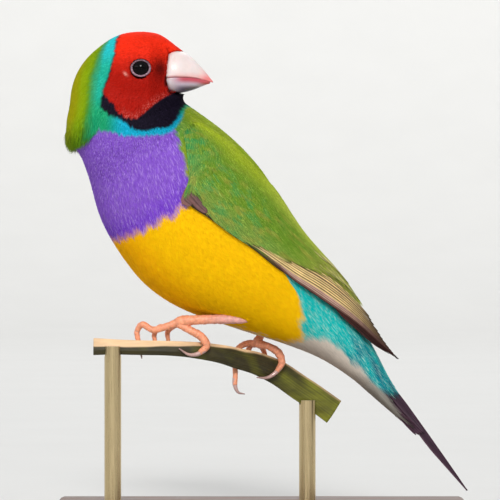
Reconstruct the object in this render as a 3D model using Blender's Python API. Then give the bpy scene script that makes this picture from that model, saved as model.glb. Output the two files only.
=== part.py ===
"""A life-size gouldian finch looking back over its shoulder, on a cut length of palm leaf on a small stand.

Sizes and places are written in millimetres and turned into metres when a mesh is made. The bird's body
lies along a straight axis that slopes down from the neck to the tail; a place on it is told as the
distance from the neck, the height towards the back, and the place across, with the left side negative.
"""

import math
import random

import bmesh
import bpy
import numpy as np
from mathutils import Matrix, Vector

MM = 0.001
GAP = 0.3
FINE = 1e-5

# The body's axis, from the neck to the end of the tail coverts.
NECK_PLACE = np.array([-30.7, 0.0, 95.8])
COVERTS_END = np.array([32.6, 0.0, 29.3])
ALONG = (COVERTS_END - NECK_PLACE) / np.linalg.norm(COVERTS_END - NECK_PLACE)
DORSAL = np.array([-ALONG[2], 0.0, ALONG[0]])
SIDE = np.array([0.0, 1.0, 0.0])

# Cross-sections of the body: distance from the neck, depth of belly, height of back, half width.
BODY_SECTIONS = np.array([
    (-8, 12.0, 9.0, 9.5), (0, 15.4, 12.2, 12.2), (10, 20.5, 14.6, 15.9), (20, 23.0, 15.8, 17.9),
    (29, 23.6, 15.4, 18.6), (36, 22.3, 13.9, 18.2), (42, 20.0, 12.2, 17.3), (48, 16.9, 11.0, 15.8),
    (54, 13.7, 10.0, 13.6), (62, 9.3, 8.9, 10.6), (70, 5.6, 7.6, 8.2), (78, 3.5, 5.5, 6.6),
    (86, 2.5, 3.2, 5.4), (93, 1.8, 2.0, 4.4)])
NECK_ROUNDING = 7.0
REAR_ROUNDING = 2.5

# Lumps of the head in its own frame: centre and half sizes, each forwards, upwards and to its right.
HEAD_CENTRE = np.array([-32.4, 0.0, 107.8])
HEAD_TURN = math.radians(12)
HEAD_LUMPS = (
    ((2.4, 0.1, 0.0), (12.2, 11.4, 9.3)),
    ((5.7, 3.5, 0.0), (8.1, 7.4, 7.3)),
    ((6.0, -6.3, 0.0), (6.3, 7.4, 8.2)),
    ((-4.9, -6.0, 0.0), (8.9, 13.2, 9.2)),
    ((-0.9, -10.9, 0.0), (13.7, 9.5, 10.8)))
HEAD_SOFTNESS = 1.5
NECK_SOFTNESS = 1.5

# Rows of the skin are numbered 0 to 1 along the body, 1 to 2 round the neck and 2 to 3 over the crown.
SKIN_REAR = 90.0
SKIN_FRONT = 10.0
BEND_HANDLE = np.array([-32.0, 0.0, 97.2])
BODY_SLOPE = math.asin(-ALONG[0])
REACH = 34.0
AROUND = 32
RUMP_START = 66.0
HEAD_ROW = 1.52

# The bill in the head's frame: distance forwards, culmen, mouth line, keel, half width.
BILL_SECTIONS = np.array([
    (7.6, 4.4, 0.0, -1.8, 3.0), (10.2, 6.35, 0.15, -2.8, 4.1), (11.4, 6.9, 0.2, -3.2, 4.65),
    (12.7, 6.9, 0.3, -3.2, 4.5), (14.4, 6.35, 0.3, -3.0, 4.0), (16.3, 4.95, 0.25, -2.5, 3.2),
    (18.3, 2.85, 0.0, -1.75, 2.2), (19.7, 1.25, -0.4, -1.25, 1.35), (20.6, 0.1, -0.7, -1.05, 0.7),
    (21.1, -0.45, -0.85, -0.95, 0.28)])
BILL_ARCH = 13
LOWER_BILL_END = 20.3
LOWER_BILL_WIDTH = 0.96
NOSTRIL_PLACE = (12.2, 4.9, 3.6)
NOSTRIL_RADIUS = 0.5

# The eye: middle of the lids in the head's frame, the way it looks, and its sizes.
EYE_PLACE = np.array([5.55, 2.35, 8.75])
EYE_LOOK = np.array([0.2, 0.05, 0.98])
EYE_RADIUS = 2.8
EYE_DEPTH = 2.1
LID_RING_RADIUS = 2.35
LID_THICKNESS = 0.5
LID_AROUND = 20
LID_SECTION = 8

# The folded wing: distance from the neck, half width, height of back, upper edge from the middle line,
# and height of the lower edge.
WING_SECTIONS = np.array([
    (8, 14.8, 14.3, 8.6, 8.6), (11, 16.4, 14.8, 8.0, 6.9), (15.5, 17.8, 15.3, 7.2, 3.6),
    (18.4, 18.5, 15.5, 6.6, 1.2), (20.2, 18.8, 15.5, 6.2, -2.4), (22.8, 19.1, 15.4, 5.7, -2.7),
    (27, 19.4, 15.2, 5.0, -1.75), (34, 19.2, 14.6, 3.2, -0.5), (41, 18.2, 13.1, 1.2, 1.1),
    (46, 17.2, 12.3, 0.45, 1.8), (52, 15.6, 12.0, 0.4, 2.5), (57, 14.0, 11.9, 0.4, 3.6),
    (62, 12.2, 11.4, 0.4, 4.7), (70, 9.2, 10.1, 0.5, 6.5), (78, 6.2, 9.0, 0.9, 7.4),
    (84.5, 4.4, 8.5, 1.6, 8.2)])
WING_START = 8.4
WING_CORE_END = 66.0
WING_CORE_STEPS = np.linspace(WING_START, WING_CORE_END, 18)
WING_CORE_ACROSS = 8
WING_THICKNESS = 1.5
WING_EDGE_THICKNESS = 0.6
WIDTH_SAMPLES = 9
# How far the pockets cut for the wings reach before, behind, above and below the wings themselves.
POCKET_BEFORE = 0.9
POCKET_BEHIND = (4.0, 8.0)
POCKET_MARGIN = 0.03
POCKET_ABOVE = 5.0
POCKET_BELOW = (0.6, 0.55)
VANE_SINK = 0.35
BLADE_THICKNESS = 0.6
SEED = 11

# Tiers of wing feathers: name, how many, the first and last feather's root, the first and last tip
# (distance from the neck, and place across from 0 at the upper edge to 1 at the lower), half width, rise.
WING_TIERS = (
    ("primary", 8, (38.0, 0.50), (40.0, 0.97), (63.0, 0.30), (83.6, 0.55), 1.45, 0.18),
    ("secondary", 6, (30.0, 0.40), (26.0, 0.93), (61.0, 0.26), (46.0, 0.94), 1.75, 0.42),
    ("tertial", 3, (28.0, 0.10), (24.0, 0.34), (59.0, 0.10), (52.0, 0.36), 2.5, 0.5),
    ("greater_covert", 7, (20.0, 0.22), (19.0, 0.90), (38.0, 0.26), (32.0, 0.95), 1.9, 0.6),
    ("median_covert", 6, (13.5, 0.20), (16.5, 0.82), (27.0, 0.20), (25.0, 0.84), 2.0, 0.7),
    ("lesser_covert", 4, (9.5, 0.28), (11.0, 0.74), (19.5, 0.20), (19.0, 0.74), 2.2, 0.8),
    ("alula", 2, (18.5, 0.86), (18.0, 0.95), (30.0, 0.97), (26.0, 0.99), 0.9, 0.75))

# Tail feathers from the middle pair outwards: distance of the tip from the neck, place across and height
# of the tip, half width, height at the root.
TAIL_FEATHERS = (
    (113.0, 0.8, -0.9, 1.2, 1.5), (101.8, 1.7, 0.1, 1.3, 1.15), (101.2, 2.3, -0.5, 1.35, 0.8),
    (100.3, 3.0, -0.9, 1.35, 0.45), (98.8, 3.6, -1.3, 1.25, 0.1))
TAIL_FILAMENT_END = 117.8
TAIL_FILAMENT_WIDTH = 0.1
# The root of the tail: distance from the neck, depth, height, half width.
TAIL_CORE = ((90.3, 1.7, 2.1, 4.2), (93.0, 1.5, 1.9, 3.8), (96.0, 0.9, 1.0, 2.8))
TAIL_CORE_AROUND = 16
TAIL_ROOT = 91.6
TAIL_ROOT_ACROSS = 0.35
TAIL_INNER_EDGE = 0.25
TAIL_SLOPE = 0.16
TAIL_FEATHER_THICKNESS = 0.55
# How wide a feather of the wing or tail is along its length, as a share of its greatest width.
FEATHER_SHARES = np.array([0.0, 0.3, 0.6, 0.85, 1.0])
WING_FEATHER_OUTLINE = np.array([0.7, 1.0, 1.0, 0.75, 0.16])
TAIL_FEATHER_OUTLINE = np.array([0.75, 1.0, 0.95, 0.6, 0.14])

# Legs: points of each tube with its radius.
THIGH_LEFT = ((3.0, -8.0, 55.2, 3.6), (0.0, -8.4, 53.0, 3.0), (-4.0, -8.3, 50.8, 1.6))
THIGH_RIGHT = ((7.0, 7.6, 54.0, 3.4), (3.8, 7.2, 51.6, 2.8), (1.1, 6.0, 48.9, 1.6))
SHANK_LEFT = (
    (-4.6, -8.3, 50.5, 1.15), (-6.5, -8.2, 50.1, 1.05), (-12.0, -7.7, 50.2, 0.95), (-15.8, -7.3, 50.2, 1.0))
SHANK_RIGHT = ((0.8, 5.8, 48.5, 1.1), (0.2, 5.0, 47.3, 1.0), (-0.5, 4.1, 46.0, 0.95))
THIGH_SIDES = 12
BALL_LEFT = (-20.0, -6.9, 49.8)
BALL_RIGHT = (-1.2, 3.3, 44.5)
BALL_RADIUS = 1.15
TOES_LEFT = (
    ((-20.0, -6.9, 49.8, 0.95), (-23.0, -6.9, 48.7, 0.85), (-26.0, -6.6, 48.0, 0.78),
     (-28.7, -6.2, 49.2, 0.78), (-29.8, -5.4, 47.5, 0.68), (-29.5, -5.3, 45.2, 0.6),
     (-29.0, -5.5, 42.9, 0.4), (-28.6, -7.0, 41.2, 0.14)),
    ((-20.0, -6.7, 49.6, 0.8), (-22.3, -5.6, 48.6, 0.7), (-24.4, -4.9, 48.6, 0.68), (-25.7, -4.4, 46.8, 0.6),
     (-25.5, -4.7, 45.0, 0.5), (-24.9, -5.3, 43.4, 0.34), (-24.2, -5.7, 42.0, 0.12)),
    ((-20.0, -6.4, 49.5, 0.8), (-21.6, -4.6, 48.5, 0.66), (-22.6, -3.7, 47.2, 0.62), (-22.4, -3.7, 45.4, 0.5),
     (-21.8, -4.4, 43.9, 0.33), (-21.3, -5.2, 42.4, 0.12)),
    ((-20.0, -7.0, 49.5, 0.95), (-16.9, -7.3, 47.8, 0.95), (-14.3, -7.2, 46.2, 1.02),
     (-13.2, -7.0, 44.2, 0.88), (-14.8, -7.2, 42.5, 0.64), (-17.2, -7.7, 42.1, 0.42),
     (-19.8, -8.0, 43.6, 0.14)))
TOES_RIGHT = (
    ((-1.2, 3.3, 44.5, 0.9), (-3.2, 4.2, 44.5, 0.78), (-5.3, 3.4, 43.7, 0.74), (-6.5, 2.2, 40.8, 0.68),
     (-6.4, 1.7, 37.4, 0.62), (-6.5, 1.2, 34.5, 0.58), (-5.7, 0.8, 32.8, 0.36), (-4.1, 0.6, 32.4, 0.13)),
    ((-1.2, 3.6, 44.3, 0.8), (-2.6, 5.0, 43.9, 0.68), (-3.4, 5.4, 42.5, 0.62), (-3.2, 4.8, 40.9, 0.52),
     (-2.8, 4.2, 39.4, 0.34), (-2.5, 3.4, 38.2, 0.12)),
    ((-1.2, 3.9, 44.3, 0.8), (0.0, 5.9, 43.4, 0.68), (0.7, 6.8, 41.8, 0.62), (0.9, 6.6, 39.8, 0.52),
     (0.8, 6.0, 38.2, 0.34), (0.6, 5.2, 36.8, 0.12)),
    ((-1.2, 3.0, 44.5, 0.9), (1.4, 2.2, 43.9, 0.88), (4.0, 2.2, 42.2, 0.98), (4.8, 2.4, 39.9, 0.84),
     (3.6, 2.2, 37.8, 0.62), (1.2, 1.5, 36.3, 0.4), (-1.3, 0.7, 36.4, 0.14)))

# The cut length of leaf, standing on its edge: middle line and height of the blade.
LEAF_STATIONS = np.array([
    (-40.1, -7.8, 44.0, 3.9), (-33.5, -7.7, 43.9, 3.6), (-26.9, -7.4, 43.7, 3.4),
    (-19.2, -6.5, 43.5, 3.6), (-14.9, -5.4, 43.0, 4.0), (-10.1, -3.2, 42.1, 4.4),
    (-5.3, -0.2, 40.9, 5.0), (-0.5, 2.8, 39.4, 5.5), (3.1, 4.6, 37.7, 5.9),
    (10.3, 7.2, 32.9, 6.2), (17.5, 9.0, 27.8, 6.2)])
LEAF_OUTLINE = ((0.30, -0.5), (0.75, -0.22), (0.7, 0.02), (0.45, 0.3), (0.28, 0.5))
LEAF_STEPS = 26

# The stand: a flat base with its underside on the floor, and two rods that hold the leaf in slots.
BASE_SIZE = (100.0, 56.0, 6.0)
BASE_EDGE = 1.2
ROD_RADIUS = 2.0
ROD_PLACES = {"stand_rod_left": -35.5, "stand_rod_right": 11.0}
ROD_SOCKET_DEPTH = 3.0
ROD_GRIP = 2.0

COLOURS = {
    "head": (0.62, 0.05, 0.03, 0.7), "neck": (0.25, 0.55, 0.2, 0.7), "torso": (0.75, 0.45, 0.05, 0.7),
    "rump": (0.1, 0.5, 0.55, 0.7), "wing": (0.2, 0.38, 0.08, 0.65), "tail": (0.06, 0.04, 0.06, 0.6),
    "bill": (0.85, 0.75, 0.72, 0.35), "eye": (0.01, 0.01, 0.01, 0.08), "leg": (0.75, 0.42, 0.32, 0.5),
    "leaf": (0.12, 0.2, 0.05, 0.6), "base": (0.16, 0.08, 0.04, 0.45), "rod": (0.65, 0.6, 0.5, 0.3)}


def clear_scene():
    """Remove every object left in the scene."""
    for item in list(bpy.data.objects):
        bpy.data.objects.remove(item, do_unlink=True)


def make_collection(name):
    """Make a collection in the scene."""
    group = bpy.data.collections.new(name)
    bpy.context.scene.collection.children.link(group)
    return group


def make_material(name, colour):
    """Make a Principled material from red, green, blue and roughness."""
    material = bpy.data.materials.new(name)
    material.use_nodes = True
    shader = material.node_tree.nodes["Principled BSDF"]
    shader.inputs["Base Color"].default_value = (*colour[:3], 1.0)
    shader.inputs["Roughness"].default_value = colour[3]
    shader.inputs["Metallic"].default_value = 1.0 if name == "rod" else 0.0
    return material


def solid(name, points, faces, group):
    """Make a closed mesh object from points in millimetres, with its faces turned outwards."""
    mesh = bpy.data.meshes.new(name)
    mesh.from_pydata([tuple(point) for point in np.asarray(points) * MM], [], faces)
    work = bmesh.new()
    work.from_mesh(mesh)
    bmesh.ops.recalc_face_normals(work, faces=work.faces)
    bmesh.ops.triangulate(work, faces=work.faces)
    work.to_mesh(mesh)
    work.free()
    item = bpy.data.objects.new(name, mesh)
    group.objects.link(item)
    return item


def largest_surface(mesh):
    """Keep only the closed surface of the mesh that holds the largest volume."""
    work = bmesh.new()
    work.from_mesh(mesh)
    unseen = set(work.faces)
    surfaces = []
    while unseen:
        start = unseen.pop()
        found = [start]
        waiting = [start]
        while waiting:
            for edge in waiting.pop().edges:
                for face in edge.link_faces:
                    if face in unseen:
                        unseen.remove(face)
                        found.append(face)
                        waiting.append(face)
        volume = sum(face.calc_area() * face.normal.dot(face.calc_center_median()) for face in found)
        surfaces.append((volume, found))
    surfaces.sort(key=lambda entry: entry[0])
    for _, found in surfaces[:-1]:
        bmesh.ops.delete(work, geom=found, context="FACES")
    bmesh.ops.triangulate(work, faces=work.faces)
    work.to_mesh(mesh)
    work.free()


def combine(target, tools, operation, solver="EXACT"):
    """Join the tools to the target (UNION) or cut them from it (DIFFERENCE), and remove them."""
    group = make_collection("tools")
    for tool in tools:
        for owner in list(tool.users_collection):
            owner.objects.unlink(tool)
        group.objects.link(tool)
    boolean = target.modifiers.new("combine", "BOOLEAN")
    boolean.operation = operation
    boolean.operand_type = "COLLECTION"
    boolean.collection = group
    boolean.solver = solver
    depsgraph = bpy.context.evaluated_depsgraph_get()
    result = bpy.data.meshes.new_from_object(target.evaluated_get(depsgraph))
    target.modifiers.clear()
    target.data = result
    largest_surface(result)
    for tool in tools:
        bpy.data.objects.remove(tool, do_unlink=True)
    bpy.data.collections.remove(group)


def mirrored(source, name, group):
    """Copy an object to the other side of the bird's middle plane."""
    mesh = source.data.copy()
    mesh.transform(Matrix.Scale(-1.0, 4, Vector(SIDE)))
    mesh.flip_normals()
    item = bpy.data.objects.new(name, mesh)
    group.objects.link(item)
    return item


def smooth_value(table, column, where):
    """Read a column of a table at any place along its first column, by a smooth cubic."""
    keys = table[:, 0]
    values = table[:, column]
    slopes = np.gradient(values, keys)
    where = np.clip(where, keys[0], keys[-1])
    index = np.clip(np.searchsorted(keys, where) - 1, 0, len(keys) - 2)
    span = keys[index + 1] - keys[index]
    part = (where - keys[index]) / span
    rising = part * part * (3.0 - 2.0 * part)
    start_slope = part * (1.0 - part) ** 2 * span * slopes[index]
    end_slope = part * part * (part - 1.0) * span * slopes[index + 1]
    return values[index] * (1.0 - rising) + values[index + 1] * rising + start_slope + end_slope


def smooth_path(stations, count):
    """Read a table of points evenly along a smooth curve through them."""
    stations = np.asarray(stations, float)
    steps = np.linalg.norm(np.diff(stations[:, :3], axis=0), axis=1)
    keys = np.concatenate([[0.0], np.cumsum(steps)])
    table = np.column_stack([keys, stations])
    where = np.linspace(0.0, keys[-1], count)
    return np.column_stack([smooth_value(table, column, where) for column in range(1, table.shape[1])])


def axis_place(distance, height=0.0, across=0.0):
    """Turn a place told along the body's axis into the model's frame."""
    distance, height, across = np.broadcast_arrays(distance, height, across)
    return (NECK_PLACE + distance[..., None] * ALONG + height[..., None] * DORSAL + across[..., None] * SIDE)


def head_place(forwards, upwards, right):
    """Turn a place told in the head's own frame into the model's frame."""
    forwards, upwards, right = np.broadcast_arrays(forwards, upwards, right)
    east = forwards * math.cos(HEAD_TURN) + right * math.sin(HEAD_TURN)
    north = right * math.cos(HEAD_TURN) - forwards * math.sin(HEAD_TURN)
    return HEAD_CENTRE + np.stack([east, north, upwards], -1)


def blend_shapes(first, second, softness):
    """Join two distances into one with a soft seam."""
    share = np.clip(0.5 + 0.5 * (second - first) / softness, 0.0, 1.0)
    return second * (1.0 - share) + first * share - softness * share * (1.0 - share)


def body_distance(points):
    """Tell how far points lie outside the body, whose sections are two half ellipses."""
    offset = points - NECK_PLACE
    distance = offset @ ALONG
    height = offset @ DORSAL
    belly = smooth_value(BODY_SECTIONS, 1, distance)
    back = smooth_value(BODY_SECTIONS, 2, distance)
    width = smooth_value(BODY_SECTIONS, 3, distance)
    depth = np.where(height > 0.0, back, belly)
    before = np.maximum(BODY_SECTIONS[0, 0] - distance, 0.0) / NECK_ROUNDING
    behind = np.maximum(distance - BODY_SECTIONS[-1, 0], 0.0) / REAR_ROUNDING
    ratio = np.sqrt((height / depth) ** 2 + (offset[..., 1] / width) ** 2 + (before + behind) ** 2)
    return (ratio - 1.0) * np.minimum(depth, width)


def head_distance(points):
    """Tell how far points lie outside the head, a soft union of ellipsoids in its turned frame."""
    offset = points - HEAD_CENTRE
    forwards = offset[..., 0] * math.cos(HEAD_TURN) - offset[..., 1] * math.sin(HEAD_TURN)
    right = offset[..., 0] * math.sin(HEAD_TURN) + offset[..., 1] * math.cos(HEAD_TURN)
    local = np.stack([forwards, offset[..., 2], right], -1)
    total = None
    for centre, sizes in HEAD_LUMPS:
        ratio = np.linalg.norm((local - np.array(centre)) / np.array(sizes), axis=-1)
        lump = (ratio - 1.0) * min(sizes)
        total = lump if total is None else blend_shapes(total, lump, HEAD_SOFTNESS)
    return total


def flesh_distance(points):
    """Tell how far points lie outside the whole bird without wings, tail, bill and legs."""
    return blend_shapes(body_distance(points), head_distance(points), NECK_SOFTNESS)


def skin_rays(rows, turns):
    """Give the start and direction of the ray for each row and each turn round the spine."""
    rows, turns = np.meshgrid(rows, turns, indexing="ij")
    straight = np.clip(rows, 0.0, 1.0)
    bend = np.clip(rows - 1.0, 0.0, 1.0)[..., None]
    tilt = (rows.clip(2.0, 3.0) - 2.0) * math.pi / 2
    front = axis_place(SKIN_FRONT)
    curve = (1 - bend) ** 2 * front + 2 * bend * (1 - bend) * BEND_HANDLE + bend ** 2 * HEAD_CENTRE
    line = axis_place(SKIN_REAR + (SKIN_FRONT - SKIN_REAR) * straight)
    centre = np.where(rows[..., None] <= 1.0, line, curve)
    slope = BODY_SLOPE * (1.0 - bend[..., 0])
    forwards = np.stack([np.sin(slope), 0 * slope, np.cos(slope)], -1)
    dorsal = np.stack([np.cos(slope), 0 * slope, -np.sin(slope)], -1)
    angle = turns * 2 * math.pi
    outwards = np.cos(angle)[..., None] * dorsal + np.sin(angle)[..., None] * SIDE
    return centre, np.cos(tilt)[..., None] * outwards + np.sin(tilt)[..., None] * forwards


def skin_points(rows, turns):
    """Find the skin along each ray: the first step outside, then halving."""
    centre, direction = skin_rays(rows, turns)
    steps = np.linspace(0.0, REACH, 35)
    outside = flesh_distance(centre[..., None, :] + steps[:, None] * direction[..., None, :]) > 0.0
    first = np.argmax(outside, axis=-1)
    high = steps[first]
    low = steps[first - 1]
    for _ in range(18):
        middle = (low + high) / 2
        beyond = flesh_distance(centre + middle[..., None] * direction) > 0.0
        high = np.where(beyond, middle, high)
        low = np.where(beyond, low, middle)
    return centre + high[..., None] * direction


def row_of(distance):
    """Tell the skin row at a distance from the neck along the body."""
    return (SKIN_REAR - distance) / (SKIN_REAR - SKIN_FRONT)


def ring_faces(rings, around):
    """List the quads between rings of points, and leave both ends open."""
    faces = []
    for ring in range(rings - 1):
        for step in range(around):
            after = (step + 1) % around
            faces.append((ring * around + step, ring * around + after,
                          (ring + 1) * around + after, (ring + 1) * around + step))
    return faces


def lofted(name, rings, group):
    """Make a solid from rings of points, with a flat face at each end."""
    rings = np.asarray(rings)
    count, around = rings.shape[:2]
    faces = ring_faces(count, around)
    faces.append(tuple(range(around)))
    faces.append(tuple((count - 1) * around + step for step in range(around)))
    return solid(name, rings.reshape(-1, 3), faces, group)


def flesh_part(name, rows, group):
    """Make the stretch of flesh between the first and last row; one that ends at row 3 closes in a point."""
    turns = np.arange(AROUND) / AROUND
    crowned = rows[-1] >= 3.0
    rings = skin_points(rows[:-1] if crowned else rows, turns)
    if not crowned:
        return lofted(name, rings, group)
    crown = skin_points(np.array([3.0]), turns[:1])[0, 0]
    count = len(rings)
    faces = ring_faces(count, AROUND)
    faces.append(tuple(range(AROUND)))
    last = (count - 1) * AROUND
    faces += [(last + step, last + (step + 1) % AROUND, count * AROUND) for step in range(AROUND)]
    return solid(name, np.vstack([rings.reshape(-1, 3), crown]), faces, group)


def tube(name, stations, group, grow=0.0, count=None, sides=8):
    """Make a tapered tube with flat ends from a curve object, as one closed mesh."""
    stations = np.asarray(stations, float)
    length = np.linalg.norm(np.diff(stations[:, :3], axis=0), axis=1).sum()
    path = smooth_path(stations, count or max(5, int(length / 1.3)))
    curve = bpy.data.curves.new(name, "CURVE")
    curve.dimensions = "3D"
    curve.bevel_depth = MM
    curve.bevel_resolution = (sides - 4) // 2
    curve.use_fill_caps = True
    spline = curve.splines.new("POLY")
    spline.points.add(len(path) - 1)
    for point, (east, north, up, radius) in zip(spline.points, path):
        point.co = (east * MM, north * MM, up * MM, 1.0)
        point.radius = radius + grow
    holder = bpy.data.objects.new(name, curve)
    group.objects.link(holder)
    depsgraph = bpy.context.evaluated_depsgraph_get()
    mesh = bpy.data.meshes.new_from_object(holder.evaluated_get(depsgraph))
    work = bmesh.new()
    work.from_mesh(mesh)
    bmesh.ops.remove_doubles(work, verts=work.verts, dist=FINE)
    bmesh.ops.recalc_face_normals(work, faces=work.faces)
    bmesh.ops.triangulate(work, faces=work.faces)
    work.to_mesh(mesh)
    work.free()
    bpy.data.objects.remove(holder, do_unlink=True)
    item = bpy.data.objects.new(name, mesh)
    group.objects.link(item)
    return item


def ball(name, centre, radius, group, segments=18, rings=10):
    """Make a round ball."""
    mesh = bpy.data.meshes.new(name)
    work = bmesh.new()
    bmesh.ops.create_uvsphere(work, u_segments=segments, v_segments=rings, radius=radius * MM)
    bmesh.ops.triangulate(work, faces=work.faces)
    work.to_mesh(mesh)
    work.free()
    mesh.transform(Matrix.Translation(Vector(np.asarray(centre) * MM)))
    item = bpy.data.objects.new(name, mesh)
    group.objects.link(item)
    return item


def rod(name, centre, radius, low, high, group, sides=24):
    """Make an upright cylinder between two heights."""
    mesh = bpy.data.meshes.new(name)
    work = bmesh.new()
    bmesh.ops.create_cone(work, cap_ends=True, segments=sides, radius1=radius * MM, radius2=radius * MM,
                          depth=(high - low) * MM)
    work.to_mesh(mesh)
    work.free()
    place = Vector((centre[0] * MM, centre[1] * MM, (low + high) / 2 * MM))
    mesh.transform(Matrix.Translation(place))
    item = bpy.data.objects.new(name, mesh)
    group.objects.link(item)
    return item


def plate(name, upper, lower, group):
    """Make a thin closed plate from two grids of points, split into triangles alike on both faces."""
    rows, across = upper.shape[:2]
    size = rows * across
    faces = []
    for row in range(rows - 1):
        for step in range(across - 1):
            corner = row * across + step
            quad = (corner, corner + 1, corner + across + 1, corner + across)
            for triple in ((0, 1, 2), (0, 2, 3)):
                faces.append(tuple(quad[place] for place in triple))
                faces.append(tuple(quad[place] + size for place in reversed(triple)))
    rim = list(range(across))
    rim += [row * across + across - 1 for row in range(1, rows)]
    rim += [(rows - 1) * across + step for step in range(across - 2, -1, -1)]
    rim += [row * across for row in range(rows - 2, 0, -1)]
    for step, corner in enumerate(rim):
        after = rim[(step + 1) % len(rim)]
        faces.append((corner, after, after + size))
        faces.append((corner, after + size, corner + size))
    points = np.vstack([upper.reshape(-1, 3), lower.reshape(-1, 3)])
    return solid(name, points, faces, group)


def wing_angles(distance):
    """Tell the angles from the middle line of the wing's upper and lower edge."""
    width = smooth_value(WING_SECTIONS, 1, distance)
    back = smooth_value(WING_SECTIONS, 2, distance)
    edge = smooth_value(WING_SECTIONS, 3, distance)
    low = smooth_value(WING_SECTIONS, 4, distance)
    belly = smooth_value(BODY_SECTIONS, 1, distance)
    upper = np.arcsin(np.clip(edge / width, 0.0, 1.0))
    lower = np.arccos(np.clip(low / np.where(low > 0.0, back, belly), -1.0, 1.0))
    return upper, lower


def wing_shape(distance, across):
    """Give the outer face of the left wing at a distance from the neck and a place across."""
    upper, lower = wing_angles(distance)
    angle = upper + (lower - upper) * across
    width = smooth_value(WING_SECTIONS, 1, distance)
    back = smooth_value(WING_SECTIONS, 2, distance)
    belly = smooth_value(BODY_SECTIONS, 1, distance)
    height = np.cos(angle) * np.where(angle < math.pi / 2, back, belly)
    return axis_place(distance, height, -width * np.sin(angle))


def wing_face(distance, across, lift):
    """Give points of the left wing, lifted outwards from its outer face."""
    step = 0.01
    base = wing_shape(distance, across)
    rear = wing_shape(distance + step * 10, across) - base
    down = wing_shape(distance, across + step) - base
    normal = np.cross(rear, down)
    normal /= np.linalg.norm(normal, axis=-1, keepdims=True)
    outwards = np.where((normal[..., 1:2] * -1.0 + normal @ DORSAL[:, None]) > 0.0, 1.0, -1.0)
    return base + normal * outwards * np.asarray(lift)[..., None]


def wing_width(distance):
    """Tell the width of the wing across its face."""
    distances, places = np.broadcast_arrays(distance, np.linspace(0.0, 1.0, WIDTH_SAMPLES)[:, None])
    line = wing_shape(distances, places)
    return np.linalg.norm(np.diff(line, axis=0), axis=-1).sum(axis=0)


def wing_sheet(name, distances, margin, above, below, group):
    """Make a sheet over the wing's outline, from a height above its outer face to a depth below it."""
    across = np.linspace(-margin, 1.0 + margin, WING_CORE_ACROSS)
    distance, across = np.meshgrid(distances, across, indexing="ij")
    middle = np.clip(4.0 * across * (1.0 - across), 0.0, 1.0) ** 0.5
    depth = below[0] + (below[1] - below[0]) * middle
    upper = wing_face(distance, across, np.full(distance.shape, above))
    lower = wing_face(distance, across, -depth)
    return plate(name, upper, lower, group)


def wing_vane(name, root, tip, half_width, rise, group):
    """Make one feather on the wing: a tapered plate that rises from a root sunk in the wing to its tip."""
    share = FEATHER_SHARES
    distance = root[0] + (tip[0] - root[0]) * share
    across = root[1] + (tip[1] - root[1]) * share
    reach = half_width * WING_FEATHER_OUTLINE / wing_width(distance)
    sides = np.array([-1.0, 1.0])
    places = np.clip(across[:, None] + sides * reach[:, None], 0.0, 1.0)
    distances = np.broadcast_to(distance[:, None], places.shape)
    lift = -0.12 + (rise + 0.12) * share[:, None] - 0.1 * sides
    free = np.clip((distances - WING_CORE_END + 4.0) / 6.0, 0.0, 1.0)
    bottom = -VANE_SINK * (1.0 - free) + (lift - BLADE_THICKNESS) * free
    upper = wing_face(distances, places, lift)
    lower = wing_face(distances, places, bottom)
    return plate(name, upper, lower, group)


def build_wing(name, group):
    """Join the left wing's core and its tiers of feathers into one solid."""
    core = wing_sheet(name, WING_CORE_STEPS, 0.0, 0.0, (WING_EDGE_THICKNESS, WING_THICKNESS), group)
    draw = random.Random(SEED)
    vanes = []
    for tier, count, first_root, last_root, first_tip, last_tip, half_width, rise in WING_TIERS:
        for step in range(count):
            share = step / (count - 1)
            wander = draw.uniform(-0.35, 0.35)
            root = [a + (b - a) * share for a, b in zip(first_root, last_root)]
            tip = [a + (b - a) * share for a, b in zip(first_tip, last_tip)]
            tip[0] += wander
            vanes.append(wing_vane(f"{tier}_{step}", root, tip, half_width, rise + 0.1 * wander, group))
    combine(core, vanes, "UNION", "MANIFOLD")
    return core


def tail_feather(name, tip, group, side, end):
    """Make one tail feather as a tapered plate from the tail's root to its tip."""
    distance_end, across_end, height_end, half_width, height_start = tip
    share = FEATHER_SHARES
    outline = TAIL_FEATHER_OUTLINE
    if end:
        share = np.append(share, (end - TAIL_ROOT) / (distance_end - TAIL_ROOT))
        outline = np.append(outline, TAIL_FILAMENT_WIDTH)
    distance = TAIL_ROOT + (distance_end - TAIL_ROOT) * share
    across = side * (TAIL_ROOT_ACROSS + (across_end - TAIL_ROOT_ACROSS) * share)
    height = height_start + (height_end - height_start) * share
    sides = np.array([-1.0, 1.0])
    inner = side * TAIL_INNER_EDGE
    places = across[:, None] + sides * (half_width * outline)[:, None]
    places = np.maximum(places, inner) if side > 0 else np.minimum(places, inner)
    distances = np.broadcast_to(distance[:, None], places.shape)
    heights = height[:, None] - TAIL_SLOPE * np.abs(places)
    upper = axis_place(distances, heights, places)
    lower = axis_place(distances, heights - TAIL_FEATHER_THICKNESS, places)
    return plate(name, upper, lower, group)


def build_tail(group):
    """Join the tail's root and its five pairs of feathers, the middle pair with thread-like tips."""
    angle = np.arange(TAIL_CORE_AROUND) / TAIL_CORE_AROUND * 2 * math.pi
    rings = []
    for distance, belly, back, width in TAIL_CORE:
        height = np.cos(angle) * np.where(np.cos(angle) > 0.0, back, belly)
        rings.append(axis_place(distance, height, width * np.sin(angle)))
    core = lofted("tail", rings, group)
    feathers = []
    for pair, tip in enumerate(TAIL_FEATHERS):
        end = TAIL_FILAMENT_END if pair == 0 else None
        for side in (-1.0, 1.0):
            feathers.append(tail_feather(f"tail_feather_{pair}", tip, group, side, end))
    combine(core, feathers, "UNION")
    return core


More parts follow.
